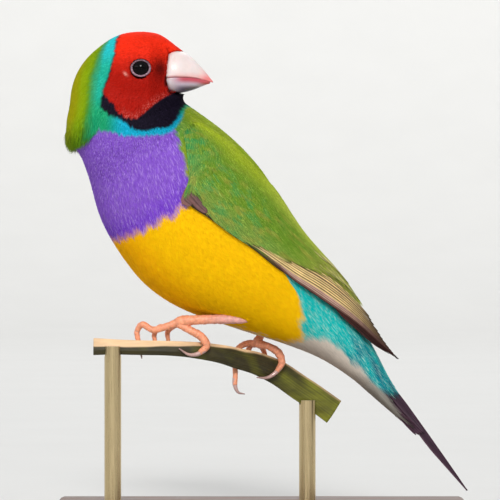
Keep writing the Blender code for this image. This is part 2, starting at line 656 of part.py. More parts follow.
def bill_rings(upper, grow):
    """Give rings round the upper or the lower bill, or round both where upper is None."""
    table = BILL_SECTIONS if upper in (True, None) else BILL_SECTIONS[BILL_SECTIONS[:, 0] < LOWER_BILL_END]
    rings = []
    angle = np.linspace(0.0, math.pi, BILL_ARCH)
    for forwards, culmen, mouth, keel, width in table:
        round_over = np.sign(np.cos(angle)) * np.abs(np.cos(angle)) ** 0.9 * (width + grow)
        across = np.concatenate([round_over, round_over[-2:0:-1]])
        rise = np.sin(angle) ** 0.95
        over = mouth + GAP / 2
        under = mouth - GAP / 2
        top = mouth + (culmen - mouth + grow) * rise
        low = under - (under - keel + grow) * rise
        if upper is None:
            height = np.concatenate([top, low[-2:0:-1]])
        elif upper:
            height = np.maximum(np.concatenate([top, np.full(BILL_ARCH - 2, over)]), over)
        else:
            across = across * LOWER_BILL_WIDTH
            height = np.minimum(np.concatenate([low, np.full(BILL_ARCH - 2, under)]), under)
        rings.append(head_place(forwards, height, across))
    rings = np.array(rings)
    if grow:
        rings[0] += head_place(-grow, 0.0, 0.0) - HEAD_CENTRE
        rings[-1] += head_place(grow, 0.0, 0.0) - HEAD_CENTRE
    return rings


def build_bill(group):
    """Make both halves of the bill, the upper one with its nostrils."""
    upper = lofted("bill_upper", bill_rings(True, 0.0), group)
    lower = lofted("bill_lower", bill_rings(False, 0.0), group)
    forwards, upwards, right = NOSTRIL_PLACE
    pits = [ball("nostril", head_place(forwards, upwards, side * right), NOSTRIL_RADIUS, group, 8, 6)
            for side in (-1.0, 1.0)]
    combine(upper, pits, "DIFFERENCE")
    return upper, lower


def eye_frame(side):
    """Give the middle of the lids and the way the eye looks, on the left (1) or right (-1) of the head."""
    place = head_place(EYE_PLACE[0], EYE_PLACE[1], side * EYE_PLACE[2])
    look = head_place(EYE_LOOK[0], EYE_LOOK[1], side * EYE_LOOK[2]) - HEAD_CENTRE
    return place, look / np.linalg.norm(look)


def lid_ring(name, side, group):
    """Make the raised ring of the lids round an eye."""
    place, look = eye_frame(side)
    turn = Vector(look).to_track_quat("Z", "Y").to_matrix()
    around = np.arange(LID_AROUND)[:, None] / LID_AROUND * 2 * math.pi
    section = np.arange(LID_SECTION) / LID_SECTION * 2 * math.pi
    radius = LID_RING_RADIUS + LID_THICKNESS * np.cos(section)
    height = LID_THICKNESS * np.sin(section) + 0.0 * around
    points = np.stack([radius * np.cos(around), radius * np.sin(around), height], -1)
    points = (points @ np.array(turn).T + place).reshape(-1, 3)
    faces = ring_faces(LID_AROUND, LID_SECTION)
    last = (LID_AROUND - 1) * LID_SECTION
    for step in range(LID_SECTION):
        after = (step + 1) % LID_SECTION
        faces.append((last + step, last + after, after, step))
    return solid(name, points, faces, group)


def build_head(group):
    """Make the head with lid rings, sockets for the eyes, and a seat for the bill."""
    rows = np.concatenate([np.linspace(HEAD_ROW, 2.0, 7), np.linspace(2.0, 3.0, 9)[1:]])
    head = flesh_part("head", rows, group)
    combine(head, [lid_ring("lids", side, group) for side in (-1.0, 1.0)], "UNION")
    cutters = [lofted("bill_seat", bill_rings(None, GAP), group)]
    eyes = []
    for name, side in (("eye_left", 1.0), ("eye_right", -1.0)):
        place, look = eye_frame(side)
        centre = place - look * EYE_DEPTH
        eyes.append(ball(name, centre, EYE_RADIUS, group))
        cutters.append(ball("socket", centre, EYE_RADIUS + GAP, group))
    combine(head, cutters, "DIFFERENCE")
    return head, eyes


def leaf_rings(grow):
    """Give rings round the leaf, whose section is widest at the fold and thin at both edges."""
    path = smooth_path(LEAF_STATIONS, LEAF_STEPS)
    tangent = np.gradient(path[:, :3], axis=0)
    tangent /= np.linalg.norm(tangent, axis=1, keepdims=True)
    across = np.cross(tangent, np.array([0.0, 0.0, 1.0]))
    across /= np.linalg.norm(across, axis=1, keepdims=True)
    up = np.cross(across, tangent)
    outline = list(LEAF_OUTLINE) + [(-side, height) for side, height in reversed(LEAF_OUTLINE)]
    rings = []
    for place, sideways, upwards in zip(path, across, up):
        ring = []
        for side, height in outline:
            wide = side + math.copysign(grow, side)
            high = height * place[3] + (math.copysign(grow, height) if abs(height) == 0.5 else 0.0)
            ring.append(place[:3] + sideways * wide + upwards * high)
        rings.append(ring)
    return np.array(rings)


def build_leaf(group):
    """Make the cut length of leaf that the bird grips."""
    return lofted("perch_leaf", leaf_rings(0.0), group)


def leaf_underside(east):
    """Tell where the middle of the leaf's lower edge runs at a place along the stand."""
    rings = leaf_rings(0.0)
    edge = (rings[:, 0] + rings[:, -1]) / 2
    return [float(np.interp(east, edge[:, 0], edge[:, axis])) for axis in (1, 2)]


def build_stand(group):
    """Make the base with a socket for each rod, and the rods with a slot for the leaf."""
    length, depth, height = BASE_SIZE
    mesh = bpy.data.meshes.new("stand_base")
    work = bmesh.new()
    bmesh.ops.create_cube(work, size=1.0)
    bmesh.ops.scale(work, vec=(length * MM, depth * MM, height * MM), verts=work.verts)
    bmesh.ops.translate(work, vec=(0.0, 0.0, height / 2 * MM), verts=work.verts)
    bmesh.ops.bevel(work, geom=work.edges, offset=BASE_EDGE * MM, segments=2, profile=0.5, affect="EDGES")
    work.to_mesh(mesh)
    work.free()
    base = bpy.data.objects.new("stand_base", mesh)
    group.objects.link(base)
    foot = height - ROD_SOCKET_DEPTH
    rods = []
    sockets = []
    for name, east in ROD_PLACES.items():
        north, under = leaf_underside(east)
        item = rod(name, (east, north), ROD_RADIUS, foot, under + ROD_GRIP, group)
        combine(item, [lofted("leaf_slot", leaf_rings(GAP), group)], "DIFFERENCE")
        rods.append(item)
        sockets.append(rod("rod_socket", (east, north), ROD_RADIUS + GAP, foot - GAP, height + 1.0, group))
    combine(base, sockets, "DIFFERENCE")
    return base, rods


def extended(stations, start, end):
    """Lengthen a tube's path at both ends, along its own direction."""
    stations = np.array(stations, float)
    first = stations[0, :3] - stations[1, :3]
    last = stations[-1, :3] - stations[-2, :3]
    stations[0, :3] += first / np.linalg.norm(first) * start
    stations[-1, :3] += last / np.linalg.norm(last) * end
    return stations


def build_foot(name, centre, shank, toes, group):
    """Join four toes with their claws, the ball of the foot and the stub that meets the shank."""
    foot = ball(name, centre, BALL_RADIUS, group, 12, 8)
    end = np.array(shank[-1])
    way = end[:3] - np.array(centre)
    reach = np.linalg.norm(way)
    stub = [(*centre, end[3] * 0.95), (*(np.array(centre) + way * (1.0 - GAP / reach)), end[3])]
    pieces = [tube("stub", stub, group, count=3)]
    pieces += [tube("toe", stations, group) for stations in toes]
    combine(foot, pieces, "UNION")
    return foot


def build_bird(group):
    """Make every part of the bird and cut each clear of what it touches."""
    head, eyes = build_head(group)
    bill = build_bill(group)
    neck_rows = np.linspace(1.0, HEAD_ROW, 6)
    rings = skin_points(neck_rows, np.arange(AROUND) / AROUND)
    rings[-1] -= skin_axis(HEAD_ROW) * GAP
    rings[0] += skin_axis(1.0) * GAP
    neck = lofted("neck", rings, group)
    torso = flesh_part("torso", np.linspace(row_of(RUMP_START), 1.0, 15), group)
    rump = flesh_part("rump", np.linspace(0.0, row_of(RUMP_START + GAP), 8), group)
    wing_left = build_wing("wing_left", group)
    wing_right = mirrored(wing_left, "wing_right", group)
    tail = build_tail(group)
    thighs = [tube("thigh_left", THIGH_LEFT, group, sides=THIGH_SIDES),
              tube("thigh_right", THIGH_RIGHT, group, sides=THIGH_SIDES)]
    shanks = [tube("shank_left", SHANK_LEFT, group), tube("shank_right", SHANK_RIGHT, group)]
    feet = [build_foot("foot_left", BALL_LEFT, SHANK_LEFT, TOES_LEFT, group),
            build_foot("foot_right", BALL_RIGHT, SHANK_RIGHT, TOES_RIGHT, group)]
    for item in (torso, neck):
        combine(item, wing_pockets(group), "DIFFERENCE")
    clearances = []
    for path in (THIGH_LEFT, THIGH_RIGHT):
        clearances.append(tube("clearance", extended(path, GAP, GAP), group, grow=GAP, sides=THIGH_SIDES))
    for path in (SHANK_LEFT, SHANK_RIGHT):
        clearances.append(tube("clearance", extended(path, GAP, GAP), group, grow=GAP))
    combine(torso, clearances, "DIFFERENCE")
    return {"head": [head], "neck": [neck], "torso": [torso], "rump": [rump], "wing": [wing_left, wing_right],
            "tail": [tail], "bill": list(bill), "eye": eyes, "leg": thighs + shanks + feet}


def skin_axis(row):
    """Give the direction of the spine at a row."""
    bend = min(max(row - 1.0, 0.0), 1.0)
    slope = BODY_SLOPE * (1.0 - bend)
    return np.array([math.sin(slope), 0.0, math.cos(slope)])


def wing_pockets(group):
    """Make the cutters that clear both wings from the flesh."""
    below = (WING_EDGE_THICKNESS + POCKET_BELOW[0], WING_THICKNESS + POCKET_BELOW[1])
    behind = [WING_CORE_END + reach for reach in POCKET_BEHIND]
    distances = np.concatenate([[WING_START - POCKET_BEFORE], WING_CORE_STEPS, behind])
    left = wing_sheet("pocket", distances, POCKET_MARGIN, POCKET_ABOVE, below, group)
    return [left, mirrored(left, "pocket", group)]


def finish(parts):
    """Give each part its material and smooth shading."""
    for kind, items in parts.items():
        for item in items:
            item.data.materials.clear()
            item.data.materials.append(make_material(kind, COLOURS[kind]))
            item.data.shade_smooth()
            item.data.set_sharp_from_angle(angle=math.radians(40))


def main():
    """Build the bird, its perch and its stand."""
    clear_scene()
    group = make_collection("gouldian_finch")
    parts = build_bird(group)
    parts["leaf"] = [build_leaf(group)]
    base, rods = build_stand(group)
    parts["base"] = [base]
    parts["rod"] = rods
    finish(parts)


main()
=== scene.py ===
"""The looks of a life-size gouldian finch that looks back over its shoulder from a cut length of palm leaf.

Sizes are in millimetres and become metres when a mesh is made. Two frames of reference are used besides the
model's own. Along the body: distance from the neck, height towards the back, and across, with the bird's
left side negative. On the head: forwards, upwards, and to the side that faces away from the camera.
"""

import functools
import math

import bpy
import numpy as np
from bpy.props import FloatProperty, FloatVectorProperty, IntProperty, PointerProperty
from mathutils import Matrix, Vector


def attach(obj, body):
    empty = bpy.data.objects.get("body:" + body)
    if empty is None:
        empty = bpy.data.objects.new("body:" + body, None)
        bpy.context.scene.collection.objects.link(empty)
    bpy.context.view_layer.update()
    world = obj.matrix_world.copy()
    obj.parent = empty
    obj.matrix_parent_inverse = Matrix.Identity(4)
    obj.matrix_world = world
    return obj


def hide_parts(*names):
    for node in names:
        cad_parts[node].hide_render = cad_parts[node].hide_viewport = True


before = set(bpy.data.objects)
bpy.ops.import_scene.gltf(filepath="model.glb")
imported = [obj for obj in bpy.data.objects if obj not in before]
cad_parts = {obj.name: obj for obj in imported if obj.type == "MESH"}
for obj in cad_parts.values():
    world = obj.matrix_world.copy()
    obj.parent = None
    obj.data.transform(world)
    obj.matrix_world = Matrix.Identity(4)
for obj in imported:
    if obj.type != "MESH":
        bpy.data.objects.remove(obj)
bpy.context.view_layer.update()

bl_info = {
    "name": "Gouldian Finch Model",
    "version": (1, 0, 0),
    "blender": (4, 5, 0),
    "location": "3D View > Sidebar > Finch",
    "description": "Dresses the solids of a perched gouldian finch with skin, feathers, bill, eyes, feet and perch",
    "category": "Object",
}

MM = 0.001
COLOUR_LAYER = "plumage"
BAKE_MAP = "OFBake"

# The body's axis, from the neck to the end of the tail coverts.
NECK_PLACE = np.array([-30.7, 0.0, 95.8])
COVERTS_END = np.array([32.6, 0.0, 29.3])
ALONG = (COVERTS_END - NECK_PLACE) / np.linalg.norm(COVERTS_END - NECK_PLACE)
DORSAL = np.array([-ALONG[2], 0.0, ALONG[0]])
SIDE = np.array([0.0, 1.0, 0.0])
UP = np.array([0.0, 0.0, 1.0])

# Cross-sections of the body: distance from the neck, depth of belly, height of back, half width.
BODY_SECTIONS = np.array([
    (-8, 12.0, 9.0, 9.5), (0, 15.4, 12.2, 12.2), (10, 20.5, 14.6, 15.9), (20, 23.0, 15.8, 17.9),
    (29, 23.6, 15.4, 18.6), (36, 22.3, 13.9, 18.2), (42, 20.0, 12.2, 17.3), (48, 16.9, 11.0, 15.8),
    (54, 13.7, 10.0, 13.6), (62, 9.3, 8.9, 10.6), (70, 5.6, 7.6, 8.2), (78, 3.5, 5.5, 6.6),
    (86, 2.5, 3.2, 5.4), (93, 1.8, 2.0, 4.4)])
NECK_ROUNDING = 7.0
REAR_ROUNDING = 2.5

# Lumps of the head in its own frame: centre and half sizes.
HEAD_CENTRE = np.array([-32.4, 0.0, 107.8])
HEAD_TURN = math.radians(12)
HEAD_LUMPS = (
    ((2.4, 0.1, 0.0), (12.2, 11.4, 9.3)),
    ((5.7, 3.5, 0.0), (8.1, 7.4, 7.3)),
    ((6.0, -6.3, 0.0), (6.3, 7.4, 8.2)),
    ((-4.9, -6.0, 0.0), (8.9, 13.2, 9.2)),
    ((-0.9, -10.9, 0.0), (13.7, 9.5, 10.8)),
    ((12.4, 5.3, 0.0), (2.4, 2.6, 2.2)))
HEAD_SOFTNESS = 1.5
NECK_SOFTNESS = 1.5
# The head narrows towards the bill over this stretch forwards, by this share, and ends at the bill's base.
NARROWING = (7.2, 10.6, 0.28)
FACE_END = 10.3
FACE_SLANT = 0.228
FACE_SOFTNESS = 0.35
BROW = (0.78, 17.5, 0.6)

# Rows of the skin are numbered 0 to 1 along the body, 1 to 2 round the neck and 2 to 3 over the crown.
SKIN_REAR = 90.0
SKIN_FRONT = 10.0
BEND_HANDLE = np.array([-32.0, 0.0, 97.2])
BODY_SLOPE = math.asin(-ALONG[0])
REACH = 34.0
SKIN_ROWS = 301
SKIN_AROUND = 128
LAST_ROW = 3.0
HEAD_ROW = 1.52

# The bill in the head's frame: distance forwards, culmen, mouth line, keel, half width.
BILL_SECTIONS = np.array([
    (7.6, 4.4, 0.0, -1.8, 3.0), (10.2, 6.35, 0.15, -2.8, 4.1), (11.4, 6.9, 0.2, -3.2, 4.65),
    (12.7, 6.9, 0.3, -3.2, 4.5),
    (14.4, 6.35, 0.3, -3.0, 4.0), (16.3, 4.95, 0.25, -2.5, 3.2), (18.3, 2.85, 0.0, -1.75, 2.2),
    (19.7, 1.25, -0.4, -1.25, 1.35), (20.6, 0.1, -0.7, -1.05, 0.7), (21.1, -0.45, -0.85, -0.95, 0.28)])
LOWER_BILL_END = 20.3
NOSTRIL_PLACE = (12.2, 4.9, 3.6)
BILL_ROOT = (10.0, 2.0)

# The eye: middle of the lids in the head's frame, the way it looks, and its sizes.
EYE_PLACE = np.array([5.55, 2.35, 8.75])
EYE_LOOK = np.array([0.2, 0.05, 0.98])
EYE_RADIUS = 2.8
EYE_DEPTH = 2.1
LID_RADIUS = 2.16
LID_THICKNESS = 0.31
LID_HEIGHT = 0.86
EYE_OPENING = 2.42

# The folded wing: distance from the neck, half width, height of back, upper edge from the middle line,
# and height of the lower edge.
WING_SECTIONS = np.array([
    (8, 14.8, 14.3, 8.6, 8.6), (11, 16.4, 14.8, 8.0, 6.9), (15.5, 17.8, 15.3, 7.2, 3.6),
    (18.4, 18.5, 15.5, 6.6, 1.2), (20.2, 18.8, 15.5, 6.2, -2.4), (22.8, 19.1, 15.4, 5.7, -2.7),
    (27, 19.4, 15.2, 5.0, -1.75), (34, 19.2, 14.6, 3.2, -0.5), (41, 18.2, 13.1, 1.2, 1.1),
    (46, 17.2, 12.3, 0.45, 1.8), (52, 15.6, 12.0, 0.4, 2.5), (57, 14.0, 11.9, 0.4, 3.6),
    (62, 12.2, 11.4, 0.4, 4.7), (70, 9.2, 10.1, 0.5, 6.5), (78, 6.2, 9.0, 0.9, 7.4),
    (84.5, 4.4, 8.5, 1.6, 8.2)])
WING_START = 8.4
WING_CORE_END = 66.0

# Tiers of wing feathers: how many, the first and last feather's root, the first and last tip (distance
# from the neck, and place across from 0 at the upper edge to 1 at the lower), half width, first and last
# rise of the tip, and the two colours of the web and its edge.
WING_TIERS = (
    # The first tier is two dark maroon vanes below the primaries, painted shade of their underside.
    (2, (60.0, 0.89), (62.0, 0.90), (83.2, 1.02), (81.0, 1.26), 0.85, -0.15, -0.3, "wing_line", "wing_line"),
    (4, (42.0, 0.925), (44.0, 0.955), (81.0, 0.70), (83.6, 0.90), 0.65, 0.14, 0.02, "wing_dark", "wing_dark_edge"),
    (8, (37.0, 0.89), (37.0, 0.965), (71.0, 0.24), (80.0, 0.64), 0.85, 0.40, 0.16, "primary", "primary_edge"),
    (9, (30.0, 0.36), (26.0, 0.92), (67.0, 0.13), (49.0, 0.80), 1.5, 0.40, 0.30, "secondary", "secondary_edge"),
    (3, (28.0, 0.08), (24.0, 0.28), (62.0, 0.03), (56.0, 0.24), 2.2, 0.48, 0.42, "tertial", "secondary_edge"),
    (9, (20.0, 0.22), (19.5, 0.86), (38.0, 0.26), (32.0, 0.93), 1.6, 0.25, 0.25, "wing", "secondary_edge"),
    (2, (18.0, 0.915), (18.2, 0.98), (26.6, 0.975), (22.8, 0.99), 0.75, 0.50, 0.40, "wrist", "wrist"))
# Where the small green feathers of the wing end above the long ones: distance, place across.
GREEN_EDGE = np.array([
    (8.0, 1.0), (17.8, 1.0), (18.6, 0.92), (20.2, 0.88), (22.0, 0.905), (25.0, 0.975), (27.0, 1.0), (35.0, 1.0),
    (38.0, 0.95), (43.2, 0.87), (48.7, 0.76), (53.0, 0.66), (57.1, 0.557), (61.0, 0.49), (66.0, 0.4)])
GREEN_MARGIN = 0.03

# Tail feathers from the middle pair outwards: distance of the tip, place across and height of it, half width.
TAIL_FEATHERS = (
    (113.0, 0.75, 0.0, 0.85), (100.6, 1.5, 0.45, 1.1), (100.3, 2.0, -0.05, 1.15), (100.0, 2.5, -0.5, 1.15),
    (99.8, 3.0, -0.95, 1.1), (99.4, 3.4, -1.4, 0.9))
# The upper line of the middle pair, and how wide half of each is: distance, height, half width.
TAIL_RIDGE = np.array([
    (80, 3.0, 0.85), (84.5, 2.9, 0.85), (89.4, 2.35, 0.85), (92.5, 2.05, 0.85), (98.2, 1.25, 0.85),
    (102.4, 0.65, 0.82), (105.0, 0.25, 0.75), (108.1, -0.2, 0.6), (113.9, -1.1, 0.3), (117.8, -1.75, 0.07)])
TAIL_SLOPES = (1.15, 0.5)
TAIL_END = 117.8
UNDERTAIL_END = 98.3
TAIL_ROOT = 80.0
TAIL_START = 84.5

# Legs: points of each tube with its radius; the last three points of a toe are its claw.
THIGHS = (
    ((3.0, -8.0, 55.2, 3.6), (0.0, -8.4, 53.0, 3.0), (-4.0, -8.3, 50.8, 1.6)),
    ((7.0, 7.6, 54.0, 3.4), (3.8, 7.2, 51.6, 2.8), (1.1, 6.0, 48.9, 1.6)))
SHANKS = {
    "left": ((-3.0, -8.3, 50.2, 0.25), (-4.6, -8.3, 50.3, 0.75), (-7.5, -8.2, 50.5, 1.05), (-12.0, -7.7, 50.5, 1.1),
             (-16.5, -7.3, 50.3, 1.18), (-20.0, -6.9, 49.8, 1.2), (-20.9, -6.9, 49.5, 0.8)),
    "right": ((2.0, 6.6, 50.2, 1.1), (0.8, 5.8, 48.5, 1.1), (0.2, 5.0, 47.3, 1.0), (-0.5, 4.1, 46.0, 0.95),
              (-1.2, 3.3, 44.5, 1.12), (-1.5, 3.1, 43.9, 0.8))}
TOES = {
    "left": (
        ((-20.0, -6.9, 49.8, 0.95), (-23.0, -6.9, 48.7, 0.85), (-26.0, -6.6, 48.0, 0.78), (-28.7, -6.2, 49.2, 0.78),
         (-29.8, -5.4, 47.5, 0.68), (-29.5, -5.3, 45.2, 0.6), (-29.0, -5.5, 42.9, 0.4), (-28.6, -7.0, 41.2, 0.14)),
        ((-20.0, -6.7, 49.6, 0.8), (-22.3, -5.6, 48.6, 0.7), (-24.4, -4.9, 48.6, 0.68), (-25.7, -4.4, 46.8, 0.6),
         (-25.5, -4.7, 45.0, 0.5), (-24.9, -5.3, 43.4, 0.34), (-24.2, -5.7, 42.0, 0.12)),
        ((-20.0, -6.4, 49.5, 0.8), (-21.6, -4.6, 48.5, 0.66), (-22.6, -3.7, 47.2, 0.62), (-22.4, -3.7, 45.4, 0.5),
         (-21.8, -4.4, 43.9, 0.33), (-21.3, -5.2, 42.4, 0.12)),
        ((-20.0, -7.0, 49.5, 0.95), (-16.9, -7.3, 47.8, 0.95), (-14.3, -7.2, 46.2, 1.02), (-13.2, -7.0, 44.2, 0.88),
         (-14.8, -7.2, 42.5, 0.64), (-17.2, -7.7, 42.1, 0.42), (-19.8, -8.0, 43.6, 0.14))),
    "right": (
        ((-1.2, 3.3, 44.5, 0.9), (-3.2, 4.2, 44.5, 0.78), (-5.3, 3.4, 43.7, 0.74), (-6.5, 2.2, 40.8, 0.68),
         (-6.4, 1.7, 37.4, 0.62), (-6.5, 1.2, 34.5, 0.58), (-5.7, 0.8, 32.8, 0.36), (-4.1, 0.6, 32.4, 0.13)),
        ((-1.2, 3.6, 44.3, 0.8), (-2.6, 5.0, 43.9, 0.68), (-3.4, 5.4, 42.5, 0.62), (-3.2, 4.8, 40.9, 0.52),
         (-2.8, 4.2, 39.4, 0.34), (-2.5, 3.4, 38.2, 0.12)),
        ((-1.2, 3.9, 44.3, 0.8), (0.0, 5.9, 43.4, 0.68), (0.7, 6.8, 41.8, 0.62), (0.9, 6.6, 39.8, 0.52),
         (0.8, 6.0, 38.2, 0.34), (0.6, 5.2, 36.8, 0.12)),
        ((-1.2, 3.0, 44.5, 0.9), (1.4, 2.2, 43.9, 0.88), (4.0, 2.2, 42.2, 0.98), (4.8, 2.4, 39.9, 0.84),
         (3.6, 2.2, 37.8, 0.62), (1.2, 1.5, 36.3, 0.4), (-1.3, 0.7, 36.4, 0.14)))}

# The cut length of leaf, standing on its edge: middle line and height of the blade; then its outline.
LEAF_STATIONS = np.array([
    (-40.1, -7.8, 44.0, 3.9), (-33.5, -7.7, 43.9, 3.6), (-26.9, -7.4, 43.7, 3.4), (-19.2, -6.5, 43.5, 3.6),
    (-14.9, -5.4, 43.0, 4.0), (-10.1, -3.2, 42.1, 4.4), (-5.3, -0.2, 40.9, 5.0), (-0.5, 2.8, 39.4, 5.5),
    (3.1, 4.6, 37.7, 5.9), (10.3, 7.2, 32.9, 6.2), (17.5, 9.0, 27.8, 6.2)])
LEAF_OUTLINE = np.array([(0.30, -0.5), (0.75, -0.22), (0.7, 0.02), (0.45, 0.3), (0.28, 0.5)])

# Markings on the head, told forwards and upwards in its frame; both sides are alike.
RED_OUTLINE = np.array([
    (-3.15, -2.2), (-2.0, 0.72), (-1.45, 3.4), (-0.85, 5.8), (-1.05, 8.2), (-1.2, 9.7), (-1.35, 16), (20, 16),
    (20, 0), (12.5, -3.0), (10.8, -4.3), (8.85, -6.0), (6.65, -8.4), (4.93, -9.84), (2.6, -9.5), (0.63, -8.4),
    (-0.47, -6.48), (-2.5, -4.6), (-3.5, -2.9)])
BLACK_OUTLINE = np.array([
    (-3.75, -3.8), (-3.55, -2.2), (-2.4, 0.72), (-1.85, 3.4), (-1.25, 5.8), (-1.45, 8.2), (-1.55, 9.7),
    (-1.7, 16), (20, 16), (20, -4.2), (14.6, -4.6), (14.5, -7.2), (14.2, -9.6), (13.3, -11.3), (11.9, -12.0),
    (9.8, -12.0), (8.3, -12.5), (6.0, -12.7), (4.0, -11.9), (2.7, -10.9), (0.6, -9.5), (-1.5, -8.8),
    (-2.9, -7.8), (-3.9, -6.6)])
BAND_OUTLINE = np.array([
    (-3.7, 9.2), (-3.4, 16), (22, 16), (22, -4.2), (15.0, -5.0), (15.0, -7.4), (15.2, -9.2), (14.5, -11.3),
    (13.5, -12.8), (11.6, -13.6), (9.0, -13.7), (6.6, -13.9), (2.2, -13.8), (-0.5, -13.0), (-3.6, -12.5),
    (-7.6, -12.3), (-6.8, -9.6), (-6.3, -7.2), (-6.05, -4.6), (-5.95, -2.0), (-5.8, 0.7), (-5.1, 3.0),
    (-4.55, 6.0)])

# Borders on the body, told as heights with the distance along the body where one colour gives way.
BREAST_END = 21.6
MANTLE_EDGE = np.array([
    (-6, 22), (2, 17), (3.6, 12.5), (4.6, 9.0), (6.0, 7.5), (8.0, 6.5), (13, 4.3), (15.5, 2.65), (17.9, 1.1), (20.65, 0.1), (40, 3),
    (52, 4), (62, 10), (92, 12)])
YELLOW_EDGE = np.array([
    (-24, 69), (-10, 66.5), (-5.9, 64.1), (-3.2, 61), (-0.5, 58.2), (1.37, 55.4), (1.84, 51.7), (2.6, 50), (8, 46)])
WHITE_EDGE = np.array([
    (46, -40), (49, -16.2), (52, -14.4), (55, -12.7), (58, -11.2), (60, -10.2), (62, -8.6), (63.5, -6.6),
    (64.6, -4.2), (66, -2.4), (67.6, -1.1), (71.2, 0.0), (78.8, 0.0), (82.4, -0.3), (85.9, 0.0),
    (88.7, -0.2), (93.6, -0.9), (98.8, -1.3)])
TAIL_DARK = (85.9, 2.0)
# The lower end of the green cape on each side: place east, height.
CAPE_NEAR = np.array([
    (-52, 91.8), (-46, 91.8), (-43.4, 92.3), (-42.2, 93.1), (-41.3, 93.9), (-39.8, 95.4), (-39.1, 95.7),
    (-38.3, 99.0), (-37.5, 104.0)])
CAPE_FAR = np.array([(-52, 92.4), (-46, 91.8), (-38, 92.2), (-30, 93.0), (-19, 93.5)])
CAPE_TOP = 106.0

CAMERA_PLACE = (-0.00288, -0.830, 0.067)
CAMERA_LENS = 249.0


def paint(title, red, green, blue):
    """Declare a colour of the bird, from values between 0 and 255."""
    return FloatVectorProperty(
        name=title, description=f"Colour of the {title.lower()}", subtype="COLOR_GAMMA", size=3,
        min=0.0, max=1.0, default=(red / 255, green / 255, blue / 255))


class FinchColours(bpy.types.PropertyGroup):
    """The colours of the plumage and of the bare parts."""

    face: paint("Face", 172, 22, 8)
    crown: paint("Crown", 246, 46, 18)
    # Painted glints: pale pink specks of light along the lower edge of the red face.
    cheek_fleck: paint("Cheek flecks", 240, 130, 120)
    bib: paint("Bib", 17, 12, 26)
    band: paint("Band round the head", 28, 172, 146)
    band_top: paint("Band at the crown", 38, 194, 200)
    band_rear: paint("Band behind the cheek", 22, 152, 102)
    band_low: paint("Band at the throat", 8, 162, 194)
    # Painted shade: dark red laid in front of the eye towards the bill, and at the gape.
    lores: paint("Lores", 52, 7, 6)
    # A pale pink spot painted behind the eye on the near side only.
    cheek_mark: paint("Mark behind the eye", 255, 176, 160)
    nape: paint("Nape", 132, 158, 2)
    nape_rear: paint("Rear of the nape", 156, 152, 0)
    nape_low: paint("Lower nape", 66, 132, 24)
    breast: paint("Breast", 128, 80, 196)
    breast_low: paint("Lower breast", 104, 42, 196)
    breast_fleck: paint("Breast flecks", 182, 148, 226)
    belly: paint("Belly", 255, 192, 2)
    # The lower front of the belly: partly its own orange tone, partly painted light, brighter than the lower belly.
    belly_front: paint("Front of the belly", 255, 176, 0)
    # The lower belly's darker yellow: partly its own tone, partly painted shade.
    belly_low: paint("Lower belly", 222, 168, 2)
    # Painted shade: the pale coverts under the tail darkened to grey, where shade falls under the tail.
    tail_base: paint("Coverts under the tail", 148, 144, 135)
    vent: paint("Vent", 212, 200, 186)
    flank: paint("Rear flank", 6, 186, 182)
    rump: paint("Rump", 2, 122, 136)
    rump_fleck: paint("Rump flecks", 176, 226, 206)
    mantle: paint("Mantle", 142, 160, 24)
    mantle_fleck: paint("Mantle flecks", 176, 186, 84)
    wing: paint("Wing coverts", 92, 128, 32)
    wing_low: paint("Lower wing coverts", 108, 132, 66)
    wing_olive: paint("Olive of the wing", 150, 134, 56)
    wing_teal: paint("Teal of the wing", 26, 132, 70)
    secondary: paint("Secondaries", 122, 126, 56)
    secondary_edge: paint("Edges of the secondaries", 184, 172, 104)
    tertial: paint("Tertials", 140, 138, 60)
    primary: paint("Primaries", 134, 100, 72)
    primary_edge: paint("Edges of the primaries", 230, 202, 136)
    wing_dark: paint("Lower primaries", 132, 92, 82)
    wing_dark_edge: paint("Edges of the lower primaries", 186, 152, 134)
    # Dark maroon of the wing's lower edge, also laid as painted shade on the core's lower face and the lowest vanes.
    wing_line: paint("Lower edge of the wing", 58, 28, 24)
    wrist: paint("Wrist", 122, 82, 78)
    tail: paint("Tail", 56, 34, 48)
    tail_edge: paint("Edges of the tail", 96, 68, 82)
    bill: paint("Bill", 222, 207, 203)
    bill_red: paint("Tip of the bill", 228, 104, 100)
    # Red along the lower bill's upper edge, also laid as a painted shadow along the upper bill's mouth line.
    bill_line: paint("Edges of the bill", 188, 62, 78)
    bill_shade: paint("Lower bill", 190, 170, 194)
    bill_dark: paint("Shade under the bill", 82, 58, 94)
    eye: paint("Eye", 4, 3, 5)
    iris: paint("Iris", 10, 6, 7)
    lid_shade: paint("Bare skin of the lids in shade", 70, 40, 52)
    lid: paint("Lids", 172, 136, 150)
    leg: paint("Legs", 238, 156, 118)
    leg_shade: paint("Upper legs", 206, 160, 160)
    claw: paint("Claws", 196, 158, 150)
    leaf: paint("Leaf", 50, 44, 8)
    leaf_fresh: paint("Fresh end of the leaf", 118, 120, 22)
    leaf_dry: paint("Dry edge of the leaf", 228, 190, 146)
    wood: paint("Base", 96, 58, 36)
    floor: paint("Floor", 212, 211, 208)


